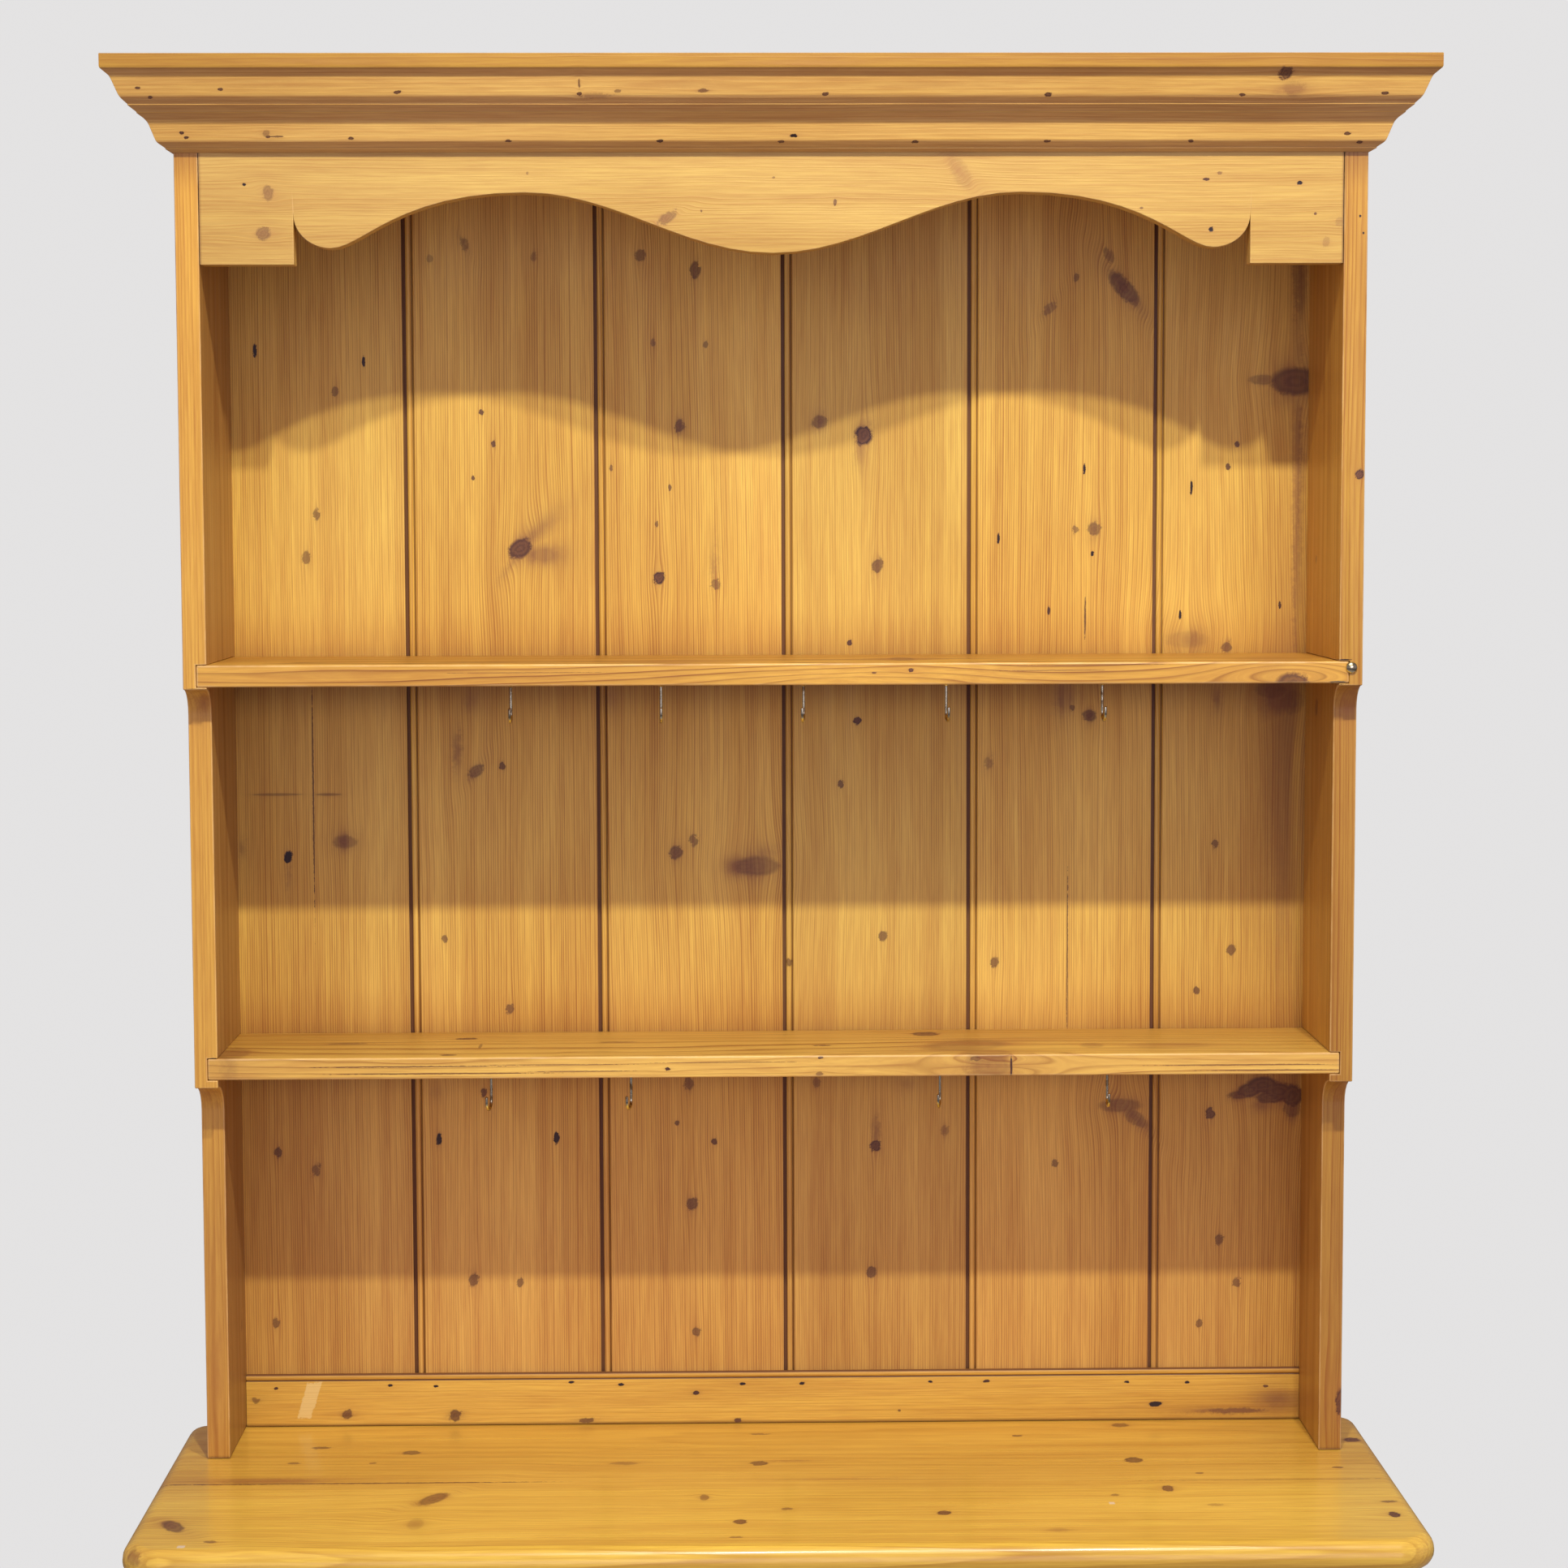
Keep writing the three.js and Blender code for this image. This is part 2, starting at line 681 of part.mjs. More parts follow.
function drawerDivider() {
  const half = dividerThickness / 2;
  const board = block(
    [-half, -faceFromBack, deckTop + fitGap],
    [half, -backPanelThickness - 2 * fitGap, carcassTop],
  );
  const railNotch = block(
    [-half - overrun, -faceFromBack - overrun, drawerOpeningTop - fitGap],
    [half + overrun, -faceFrameRear + fitGap, carcassTop + overrun],
  );
  return cut(board, railNotch);
}

// A tenon, or with a clearance its mortise, running into the stile from the face opening.
function tenon(side, bottom, top, clearance) {
  const middle = -faceFromBack + faceFrameThickness / 2;
  const half = tenonThickness / 2 + clearance;
  const start = side * (halfFaceOpening - overrun);
  const end = side * (halfFaceOpening + tenonLength - fitGap + clearance);
  const [low, high] = inOrder(start, end);
  return block(
    [low, middle - half, bottom + tenonShoulder - clearance],
    [high, middle + half, top - tenonShoulder + clearance],
  );
}

function stile(side) {
  const [low, high] = inOrder(side * halfFaceOpening, side * halfCarcass);
  const post = block([low, -faceFromBack, 0], [high, -faceFrameRear, carcassTop]);
  const middleX = side * (halfCarcass - carcassBoardThickness / 2);
  const half = sideTongueThickness / 2 + fitGap;
  const groove = block(
    [middleX - half, -faceFrameRear - sideTongueLength - fitGap, cupboardFloor - fitGap],
    [middleX + half, -faceFrameRear + overrun, carcassTop + overrun],
  );
  return cut(
    post,
    groove,
    tenon(side, plinthClearance, cupboardFloor, fitGap),
    tenon(side, drawerOpeningTop, carcassTop, fitGap),
  );
}

function topRail() {
  const end = halfFaceOpening - fitGap;
  const rail = block([-end, -faceFromBack, drawerOpeningTop], [end, -faceFrameRear, carcassTop]);
  return join(rail, ...[-1, 1].map((side) => tenon(side, drawerOpeningTop, carcassTop, 0)));
}

// Bottom rail: its lower edge rises in a long wave between the feet.
function bottomRail() {
  const end = halfFaceOpening - fitGap;
  const archFoot = end - bottomRailArchInset;
  const archTop = archFoot / 2;
  const archZ = plinthClearance + bottomRailArch;
  const handle = (archFoot - archTop) * waveHandleShare;
  const outline = new THREE.Shape();
  outline.moveTo(-end, cupboardFloor);
  outline.lineTo(-end, plinthClearance);
  outline.lineTo(-archFoot, plinthClearance);
  outline.bezierCurveTo(
    -archFoot + handle, plinthClearance,
    -archTop - handle, archZ,
    -archTop, archZ,
  );
  outline.lineTo(archTop, archZ);
  outline.bezierCurveTo(
    archTop + handle, archZ,
    archFoot - handle, plinthClearance,
    archFoot, plinthClearance,
  );
  outline.lineTo(end, plinthClearance);
  outline.lineTo(end, cupboardFloor);
  const rail = bringForward(outline, -faceFrameRear, faceFrameThickness);
  return join(rail, ...[-1, 1].map((side) => tenon(side, plinthClearance, cupboardFloor, 0)));
}

function basePanel() {
  const reach = halfCarcassInside + rebateWidth - fitGap;
  return block([-reach, -backPanelThickness, plinthClearance], [reach, 0, carcassTop]);
}

// Turned knob on the plane y = 0, with its spigot behind it.
function knob() {
  const outer = knobProfileShares.map(([r, h]) => [r * knobRadius, h * knobReach]);
  const profile = [
    [0, -knobSpigotLength],
    [knobSpigotRadius, -knobSpigotLength],
    [knobSpigotRadius, 0],
    ...outer,
    [0, knobReach],
  ].map(([r, h]) => new THREE.Vector2(r, h));
  return solidOf(new THREE.LatheGeometry(profile, turnedSides).rotateX(Math.PI));
}

function spigotHole(x, z, depth) {
  return hole(knobSpigotRadius, depth + overrun, turnedSides, alongY, [x, 0, z]);
}

// Drawers, each in its own frame: x from the middle of its front, y from the face, z from the deck.
// The box runs on the deck.
const drawerWidth = halfFaceOpening - dividerThickness / 2 - 2 * drawerGap;
const drawerFrontHeight = drawerOpeningHeight - 2 * drawerBottomGap;
const drawerRear = faceFromBack - backPanelThickness - drawerRearGap;
const drawerBoxTop = fitGap + drawerWallHeight;
const drawerBottomUnderside = fitGap + drawerBottomLift;
const drawerKnobHeight = drawerBottomGap + drawerFrontHeight / 2;

function drawerFront() {
  const half = drawerWidth / 2;
  const slab = block(
    [-half, 0, drawerBottomGap],
    [half, drawerFrontThickness, drawerBottomGap + drawerFrontHeight],
  );
  const lapWidth = drawerWallThickness + runGap + fitGap;
  const laps = [-1, 1].map((side) => {
    const [low, high] = inOrder(side * (half + overrun), side * (half - lapWidth));
    return block(
      [low, drawerFrontThickness - drawerLap, -overrun],
      [high, drawerFrontThickness + overrun, drawerBoxTop + fitGap],
    );
  });
  return cut(slab, ...laps, bottomGroove(), spigotHole(0, drawerKnobHeight, drawerFrontThickness));
}

// The slot round the inside of the drawer that holds its bottom.
function bottomGroove() {
  const reach = drawerWidth / 2 - runGap - drawerWallThickness + grooveDepth;
  return block(
    [-reach, drawerFrontThickness - grooveDepth, drawerBottomUnderside - fitGap],
    [
      reach,
      drawerRear - drawerWallThickness + grooveDepth,
      drawerBottomUnderside + drawerBottomThickness + fitGap,
    ],
  );
}

function drawerBox() {
  const half = drawerWidth / 2 - runGap;
  const front = drawerFrontThickness - drawerLap + fitGap;
  const outer = block([-half, front, fitGap], [half, drawerRear, drawerBoxTop]);
  const inner = block(
    [-half + drawerWallThickness, -overrun, -overrun],
    [half - drawerWallThickness, drawerRear - drawerWallThickness, drawerBoxTop + overrun],
  );
  return cut(outer, inner, bottomGroove());
}

function drawerBottom() {
  const reach = drawerWidth / 2 - runGap - drawerWallThickness + grooveDepth - fitGap;
  return block(
    [-reach, drawerFrontThickness - grooveDepth + fitGap, drawerBottomUnderside],
    [
      reach,
      drawerRear - drawerWallThickness + grooveDepth - fitGap,
      drawerBottomUnderside + drawerBottomThickness,
    ],
  );
}

// Doors, each in its own frame: origin at the foot of the hinge axis, the door to the +X * side.
function doorFrame(side) {
  const [left, right] = doorSpan(side);
  const opening = doorOpening(side);
  const slab = block([left, hingeAxisProud, 0], [right, hingeAxisProud + doorThickness, doorHeight]);
  const window = block(
    [opening.left, 0, opening.bottom],
    [opening.right, hingeAxisProud + doorThickness + overrun, opening.top],
  );
  const middle = hingeAxisProud + doorThickness / 2;
  const halfGroove = panelTongueThickness / 2 + fitGap;
  const grooveReach = panelTongueLength + fitGap;
  const groove = block(
    [opening.left - grooveReach, middle - halfGroove, opening.bottom - grooveReach],
    [opening.right + grooveReach, middle + halfGroove, opening.top + grooveReach],
  );
  const [knobX, knobZ] = doorKnobPlace(side);
  return cut(slab, window, groove, spigotHole(knobX, knobZ, hingeAxisProud + doorThickness));
}

function doorSpan(side) {
  const near = (side * doorHingeGap) / 2;
  return inOrder(near, near + side * doorWidth);
}

function doorOpening(side) {
  const [left, right] = doorSpan(side);
  return {
    left: left + doorStileWidth,
    right: right - doorStileWidth,
    bottom: doorBottomRailHeight,
    top: doorHeight - doorStileWidth,
  };
}

function doorKnobPlace(side) {
  const x = side * (doorHingeGap / 2 + doorWidth - doorStileWidth / 2);
  return [x, doorHeight - doorKnobBelowTop];
}

// Fielded panel: a thin tongue all round, rising by a bevel to the field.
function doorPanel(side) {
  const opening = doorOpening(side);
  const reach = panelTongueLength - fitGap;
  const middle = hingeAxisProud + doorThickness / 2;
  const tongueFront = middle - panelTongueThickness / 2;
  const slab = block(
    [opening.left - reach, tongueFront, opening.bottom - reach],
    [opening.right + reach, middle + panelTongueThickness / 2, opening.top + reach],
  );
  const fieldFront = tongueFront - panelFieldRise;
  const rimFront = tongueFront - panelRimRise;
  const profile = (low, high) => [
    [low + fitGap, middle],
    [high - fitGap, middle],
    [high - fitGap, rimFront],
    [high - panelFieldMargin, fieldFront],
    [low + panelFieldMargin, fieldFront],
    [low + fitGap, rimFront],
  ];
  const acrossPlan = raise(shapeOf(profile(opening.left, opening.right)),
    opening.bottom + fitGap, opening.top - opening.bottom - 2 * fitGap);
  const upSection = runAcross(
    shapeOf(profile(opening.bottom, opening.top).map(([z, y]) => [y, z])),
    opening.left + fitGap, opening.right - opening.left - 2 * fitGap,
  );
  return join(slab, acrossPlan.intersect(upSection));
}

// Butt hinge about z, its middle at the origin: the fixed leaf holds the pin and the outer knuckles.
const knuckleLength = hingeLength / 3;

function hingeLeaf(side, knuckles) {
  const near = side * hingeLeafFromAxis;
  const [low, high] = inOrder(near, near + side * hingeLeafThickness);
  const plate = block(
    [low, hingeLeafSetback, -hingeLength / 2],
    [high, hingeAxisProud + hingeLeafDepth, hingeLength / 2],
  );
  const rolls = knuckles.flatMap(([bottom, top]) => [
    bar(hingeKnuckleRadius, top - bottom, hingeSides, alongZ, [0, 0, (bottom + top) / 2]),
    block([low, hingePinRadius, bottom], [high, hingeLeafSetback + hingeLeafThickness, top]),
  ]);
  return join(plate, ...rolls);
}

function fixedLeaf(side) {
  const half = hingeLength / 2;
  const inner = knuckleLength / 2;
  const pin = bar(hingePinRadius, hingeLength, hingeSides, alongZ, [0, 0, 0]);
  return join(hingeLeaf(side, [[-half, -inner], [inner, half]]), pin);
}

function movingLeaf(side) {
  const inner = knuckleLength / 2 - hingeKnuckleGap;
  const bore = hole(hingePinRadius, inner, hingeSides, alongZ, [0, 0, 0]);
  return cut(hingeLeaf(side, [[-inner, inner]]), bore);
}

// Assembly
const dresser = new THREE.Group();
const rack = new THREE.Group();
const base = new THREE.Group();
rack.position.z = baseHeight;
dresser.add(rack, base);

rack.add(meshOf("rack_side_left", rackSide(-1), pine));
rack.add(meshOf("rack_side_right", rackSide(1), pine));
const rackTop = block(
  [-halfRack, -topSectionDepth, rackHeight - rackTopBoardThickness],
  [halfRack, 0, rackHeight],
);
rack.add(meshOf("rack_top_board", rackTop, pine));
rack.add(meshOf("frieze", frieze(), palePine));
rack.add(meshOf("upper_shelf", rackShelf(upperShelfTop, topSectionDepth, upperHookShares), pine));
rack.add(meshOf("lower_shelf", rackShelf(lowerShelfTop, middleSectionDepth, lowerHookShares), pine));
for (let i = 0; i <= boardJointShares.length; i++)
  rack.add(meshOf(`back_board_${i + 1}`, backBoard(i), boardPine));
rack.add(meshOf("back_bottom_rail", backRail(), boardPine));

const corniceFoot = rackHeight - corniceHeight;
const corniceFront = meshOf(
  "cornice_front",
  corniceLength(-halfRack - fitGap, halfRack + fitGap, true, true),
  palePine,
);
corniceFront.position.set(0, -topSectionDepth - fitGap, corniceFoot);
rack.add(corniceFront);
const sides = [["left", -1], ["right", 1]];
for (const [name, side] of sides) {
  const [start, end] = side > 0 ? [0, topSectionDepth] : [-topSectionDepth, 0];
  const solid = corniceLength(start, end, side > 0, side < 0);
  const returnPiece = meshOf(`cornice_${name}`, solid, palePine);
  returnPiece.rotation.z = (side * Math.PI) / 2;
  returnPiece.position.set(side * (halfRack + fitGap), -topSectionDepth, corniceFoot);
  rack.add(returnPiece);
}

const hookRows = [
  [upperShelfTop, topSectionDepth, upperHookShares, upperHookTurns],
  [lowerShelfTop, middleSectionDepth, lowerHookShares, lowerHookTurns],
];
let hookCount = 0;
for (const [shelfTop, depth, shares, turns] of hookRows)
  shares.forEach((share, i) => {
    hookCount += 1;
    const hook = meshOf(`cup_hook_${hookCount}`, cupHook(), chrome);
    hook.position.set(share * rackWidth, -depth + hookSetback, shelfTop - shelfThickness);
    hook.rotation.z = THREE.MathUtils.degToRad(turns[i]);
    rack.add(hook);
  });

const pin = meshOf("dome_head_pin", domeHeadPin(), chrome);
const [pinX, pinY, pinZ] = pinPlace();
pin.position.set(pinX, pinY - fitGap, pinZ);
rack.add(pin);

base.add(meshOf("worktop", worktop(), pine));
base.add(meshOf("base_side_left", baseSide(-1), pine));
base.add(meshOf("base_side_right", baseSide(1), pine));
const bottomBoard = housedBoard(cupboardFloor, bottomBoardThickness, faceFrameRear - fitGap);
base.add(meshOf("base_bottom_board", bottomBoard, innerPine));
const baseShelf = housedBoard(baseShelfTop, baseShelfThickness, faceFrameRear - shelfStopGap);
base.add(meshOf("base_shelf", baseShelf, innerPine));
base.add(meshOf("base_back_panel", basePanel(), innerPine));
base.add(meshOf("stile_left", stile(-1), pine));
base.add(meshOf("stile_right", stile(1), pine));
base.add(meshOf("top_rail", topRail(), pine));
base.add(meshOf("bottom_rail", bottomRail(), pine));
base.add(meshOf("drawer_deck", drawerDeck(), pine));
base.add(meshOf("drawer_divider", drawerDivider(), pine));

for (const [name, side] of sides) {
  const drawer = new THREE.Group();
  const drawerMiddle = (halfFaceOpening + dividerThickness / 2) / 2;
  drawer.position.set(side * drawerMiddle, -faceFromBack, deckTop);
  drawer.add(meshOf(`drawer_${name}_front`, drawerFront(), pine));
  drawer.add(meshOf(`drawer_${name}_box`, drawerBox(), innerPine));
  drawer.add(meshOf(`drawer_${name}_bottom`, drawerBottom(), innerPine));
  const drawerKnob = meshOf(`drawer_${name}_knob`, knob(), palePine);
  drawerKnob.position.set(0, -fitGap, drawerKnobHeight);
  drawer.add(drawerKnob);

  const door = new THREE.Group();
  const axisX = side * (halfFaceOpening - doorHingeGap / 2);
  door.position.set(axisX, -faceFromBack - hingeAxisProud, doorBottom);
  door.add(meshOf(`door_${name}_frame`, doorFrame(-side), pine));
  door.add(meshOf(`door_${name}_panel`, doorPanel(-side), pine));
  const doorKnob = meshOf(`door_${name}_knob`, knob(), palePine);
  const [knobX, knobZ] = doorKnobPlace(-side);
  doorKnob.position.set(knobX, hingeAxisProud - fitGap, knobZ);
  door.add(doorKnob);

  const hingeHeights = [["upper", doorHeight - hingeFromDoorEnd], ["lower", hingeFromDoorEnd]];
  for (const [level, height] of hingeHeights) {
    const moving = meshOf(`hinge_${name}_${level}_door_leaf`, movingLeaf(-side), brass);
    moving.position.z = height;
    door.add(moving);
    const fixed = meshOf(`hinge_${name}_${level}_frame_leaf`, fixedLeaf(side), brass);
    fixed.position.set(axisX, -faceFromBack - hingeAxisProud, doorBottom + height);
    base.add(fixed);
  }
  base.add(drawer, door);
}

// The frame's origin is on the floor, under the middle of the whole piece.
const bounds = new THREE.Box3().setFromObject(dresser);
dresser.position.y = -(bounds.min.y + bounds.max.y) / 2;

export default dresser;
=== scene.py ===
import json
import math
import random

import bmesh
import bpy
from mathutils import Matrix, Vector
from mathutils.geometry import intersect_point_line


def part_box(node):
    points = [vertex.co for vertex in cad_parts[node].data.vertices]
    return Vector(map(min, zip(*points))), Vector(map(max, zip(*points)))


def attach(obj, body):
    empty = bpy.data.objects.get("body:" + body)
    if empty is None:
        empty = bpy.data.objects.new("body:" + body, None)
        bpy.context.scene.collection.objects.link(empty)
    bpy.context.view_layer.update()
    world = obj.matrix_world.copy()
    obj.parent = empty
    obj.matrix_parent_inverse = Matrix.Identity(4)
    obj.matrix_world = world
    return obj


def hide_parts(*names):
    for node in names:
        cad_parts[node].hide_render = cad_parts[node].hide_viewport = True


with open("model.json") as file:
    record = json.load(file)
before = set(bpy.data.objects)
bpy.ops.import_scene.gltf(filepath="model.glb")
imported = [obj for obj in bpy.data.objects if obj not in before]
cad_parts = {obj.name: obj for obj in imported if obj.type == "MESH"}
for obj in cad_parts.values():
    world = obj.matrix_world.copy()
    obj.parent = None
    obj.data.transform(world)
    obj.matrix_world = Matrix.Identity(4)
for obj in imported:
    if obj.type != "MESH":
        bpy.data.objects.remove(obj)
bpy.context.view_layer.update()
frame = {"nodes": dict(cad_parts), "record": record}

record = frame["record"]
slotOf = {row["node"]: row["material_slot"] for row in record["subparts"]}
bodyOf = {node: body for body, names in record["behaviour"]["bodies"].items() for node in names}
print("frame loaded:", len(frame["nodes"]), "nodes")


# Camera, as the photograph was taken
view = {
    "place": (-0.0425, -2.80875, 1.6349),
    "yaw": 0.0178,  # radians, towards +X
    "pitch": 0.0835,  # down
    "roll": -0.0029,
    "focalPixels": 4111.4,
    "imagePixels": 1932,
    "sensor": 36,  # mm
    "clipEnd": 50,
}


def cameraAxes():
    yaw, pitch, roll = view["yaw"], view["pitch"], view["roll"]
    ahead = Vector((math.sin(yaw) * math.cos(pitch), math.cos(yaw) * math.cos(pitch), -math.sin(pitch)))
    level = Vector((math.cos(yaw), -math.sin(yaw), 0))
    upright = level.cross(ahead)
    right = level * math.cos(roll) + upright * math.sin(roll)
    up = upright * math.cos(roll) - level * math.sin(roll)
    return right, up, ahead


def seenOn(pixelX, pixelY, axis, value):
    # The point that the photograph's camera sees at a pixel, on a plane across one axis
    right, up, ahead = cameraAxes()
    half = view["imagePixels"] / 2
    ray = ahead * view["focalPixels"] + right * (pixelX - half) - up * (pixelY - half)
    place = Vector(view["place"])
    return place + ray * ((value - place[axis]) / ray[axis])


def addObject(name, data):
    made = bpy.data.objects.new(name, data)
    bpy.context.scene.collection.objects.link(made)
    return made


def makeCamera():
    data = bpy.data.cameras.new("camera")
    data.sensor_width = view["sensor"]
    data.lens = view["focalPixels"] / view["imagePixels"] * view["sensor"]
    data.clip_end = view["clipEnd"]
    camera = addObject("camera", data)
    right, up, ahead = cameraAxes()
    turn = Matrix((right, up, -ahead)).transposed().to_4x4()
    camera.matrix_world = Matrix.Translation(view["place"]) @ turn
    bpy.context.scene.camera = camera


# Shorthands for material nodes
def feed(tree, socket, value):
    if isinstance(value, bpy.types.NodeSocket):
        tree.links.new(value, socket)
    else:
        socket.default_value = value


def put(tree, kind, feeds=None, **settings):
    made = tree.nodes.new("ShaderNode" + kind)
    for name, value in settings.items():
        setattr(made, name, value)
    for name, value in (feeds or {}).items():
        feed(tree, made.inputs[name], value)
    return made


def calc(tree, operation, *values, clamp=False):
    feeds = dict(enumerate(values))
    return put(tree, "Math", feeds, operation=operation, use_clamp=clamp).outputs[0]


def times(tree, first, second, clamp=False):
    return calc(tree, "MULTIPLY", first, second, clamp=clamp)


def over(tree, first, second):
    return calc(tree, "DIVIDE", first, second)


def plus(tree, first, second):
    return calc(tree, "ADD", first, second)


def minus(tree, first, second):
    return calc(tree, "SUBTRACT", first, second)


def timesPlus(tree, first, second, third):
    return calc(tree, "MULTIPLY_ADD", first, second, third)


def apart(tree, first, second):
    return calc(tree, "ABSOLUTE", minus(tree, first, second))


def ramp(tree, value, low, high, start=0.0, end=1.0, smooth=True):
    kind = "SMOOTHSTEP" if smooth else "LINEAR"
    feeds = {"Value": value, 1: low, 2: high, 3: start, 4: end}
    return put(tree, "MapRange", feeds, interpolation_type=kind).outputs[0]


def blendColour(tree, share, first, second, mode="MIX"):
    made = put(tree, "Mix", {0: share, 6: first, 7: second}, data_type="RGBA", blend_type=mode)
    return made.outputs[2]


def cloud(tree, vector, scale=1.0, detail=2.0, roughness=0.5):
    feeds = {"Vector": vector, "Scale": scale, "Detail": detail, "Roughness": roughness}
    return put(tree, "TexNoise", feeds).outputs[0]


def joined(tree, x, y, z):
    return put(tree, "CombineXYZ", {0: x, 1: y, 2: z}).outputs[0]


def groupTree(name, inputs, outputs):
    tree = bpy.data.node_groups.new(name, "ShaderNodeTree")
    for label, default in inputs.items():
        made = tree.interface.new_socket(label, in_out="INPUT", socket_type="NodeSocketFloat")
        made.default_value = default
    for label in outputs:
        tree.interface.new_socket(label, in_out="OUTPUT", socket_type="NodeSocketFloat")
    return tree, tree.nodes.new("NodeGroupInput").outputs, tree.nodes.new("NodeGroupOutput").inputs


def newMaterial(name):
    material = bpy.data.materials.new(name)
    material.use_nodes = True
    material.node_tree.nodes.clear()
    return material, material.node_tree


knotForm = {
    "pushFade": 0.14,
    "raggedUpTo": 0.0045,  # metres: the outlines of wider knots are smoother
    "rimAt": 0.9,
    "rimReach": 0.28,
    "rimDarkness": 0.14,
    "outline": (1.2, 0.8),
    "haloFade": 0.35,
    "haloGain": 3.2,
    "haloShare": 0.92,
}


def makeKnotGroup():
    # One knot: how far it pushes the grain aside, its dark core, and the stained wood around it
    inputs = {"Across": 0, "Along": 0, "Wobble": 0, "Shift": 0, "Core": 0, "Halo": 0, "Rings": 9}
    inputs.update({"CentreAcross": 0, "CentreAlong": 0, "HalfWidth": 0.005, "HalfLength": 0.006, "Lean": 0})
    inputs.update({"Push": 1, "Dark": 1, "Stain": 0.6})
    tree, given, result = groupTree("knot", inputs, ["Shift", "Core", "Halo", "Rings"])
    along = minus(tree, given["Along"], given["CentreAlong"])
    across = minus(tree, given["Across"], given["CentreAcross"])
    across = timesPlus(tree, along, given["Lean"], across)
    u = over(tree, across, given["HalfWidth"])
    v = over(tree, along, given["HalfLength"])
    flat = timesPlus(tree, times(tree, v, v), knotForm["pushFade"], timesPlus(tree, u, u, 1.0))
    push = over(tree, times(tree, across, given["Push"]), flat)
    ragged = calc(tree, "MINIMUM", over(tree, knotForm["raggedUpTo"], given["HalfWidth"]), 1.0)
    wobble = times(tree, given["Wobble"], ragged)
    u = plus(tree, u, wobble)
    v = plus(tree, v, wobble)
    away = calc(tree, "SQRT", timesPlus(tree, u, u, times(tree, v, v)))
    rim = ramp(tree, apart(tree, away, knotForm["rimAt"]), knotForm["rimReach"], 0.0)
    rim = times(tree, rim, knotForm["rimDarkness"])
    core = times(tree, plus(tree, ramp(tree, away, *knotForm["outline"]), rim), given["Dark"])
    spread = timesPlus(tree, times(tree, v, v), knotForm["haloFade"], timesPlus(tree, u, u, 1.0))
    halo = over(tree, given["Stain"], times(tree, spread, spread))
    halo = times(tree, halo, knotForm["haloGain"], clamp=True)
    halo = times(tree, halo, knotForm["haloShare"])
    feed(tree, result["Shift"], plus(tree, given["Shift"], push))
    feed(tree, result["Core"], calc(tree, "MAXIMUM", given["Core"], core))
    feed(tree, result["Halo"], calc(tree, "MAXIMUM", given["Halo"], halo))
    feed(tree, result["Rings"], calc(tree, "MINIMUM", given["Rings"], away))
    return tree


# Scales across and along the grain, and a shift, where three numbers stand together
grainForm = {
    "slowWander": (7, 1.3),
    "quickWander": (70, 9, 3.1),
    "quickShare": 0.13,
    "unevenScale": 0.21,
    "lateEnd": (1.0, 0.86),
    "yearStrength": (0.0, 1.0, 0.55, 1.5),
    "fibre": (620, 22, 7.7),
    "streak": (75, 2.4, 1.9),
    "tone": (9, 2.2, 5.3),
    "fibreHeight": 0.5,
    "lateHeight": 0.6,
}


def makeGrainGroup():
    # Growth rings about a pith that lies beside the board, with fibres and slow changes of tone
    inputs = {"Across": 0, "Depth": 0, "Along": 0, "PithAcross": 0.2, "PithDepth": 0.1, "Lean": 0}
    inputs.update({"Pitch": 0.003, "Uneven": 4, "Wander": 0.012, "Sharp": 2.2, "Seed": 0})
    tree, given, result = groupTree("pineGrain", inputs, ["Late", "Fibre", "Streak", "Tone", "Height"])

    def stretched(across, along, shift=0.0):
        seed = plus(tree, given["Seed"], shift)
        x = timesPlus(tree, given["Across"], across, seed)
        y = times(tree, given["Depth"], across)
        return joined(tree, x, y, timesPlus(tree, given["Along"], along, seed))

    slow = times(tree, minus(tree, cloud(tree, stretched(*grainForm["slowWander"])), 0.5), given["Wander"])
    quick = minus(tree, cloud(tree, stretched(*grainForm["quickWander"])), 0.5)
    quick = times(tree, quick, times(tree, given["Wander"], grainForm["quickShare"]))
    wander = plus(tree, slow, quick)
    x = plus(tree, minus(tree, given["Across"], given["PithAcross"]), wander)
    x = timesPlus(tree, given["Along"], given["Lean"], x)
    y = plus(tree, minus(tree, given["Depth"], given["PithDepth"]), wander)
    out = calc(tree, "SQRT", timesPlus(tree, x, x, times(tree, y, y)))
    years = over(tree, out, given["Pitch"])
    yearPlace = joined(tree, times(tree, years, grainForm["unevenScale"]), given["Seed"], 0.0)
    uneven = cloud(tree, yearPlace, detail=1.0)
    years = timesPlus(tree, uneven, given["Uneven"], years)
    part = calc(tree, "FRACT", years)
    feeds = {"W": calc(tree, "FLOOR", years)}
    yearNoise = put(tree, "TexWhiteNoise", feeds, noise_dimensions="1D").outputs["Value"]
    late = calc(tree, "POWER", part, given["Sharp"])
    late = times(tree, late, ramp(tree, part, *grainForm["lateEnd"]))
    late = times(tree, late, ramp(tree, yearNoise, *grainForm["yearStrength"], smooth=False))
    fibre = cloud(tree, stretched(*grainForm["fibre"]), detail=3.0, roughness=0.6)
    streak = cloud(tree, stretched(*grainForm["streak"]), detail=3.0, roughness=0.55)
    tone = cloud(tree, stretched(*grainForm["tone"]), detail=2.0)
    height = timesPlus(tree, fibre, grainForm["fibreHeight"], times(tree, late, grainForm["lateHeight"]))
    made = {"Late": late, "Fibre": fibre, "Streak": streak, "Tone": tone, "Height": height}
    for label, value in made.items():
        tree.links.new(value, result[label])
    return tree


knotGroup = makeKnotGroup()
grainGroup = makeGrainGroup()

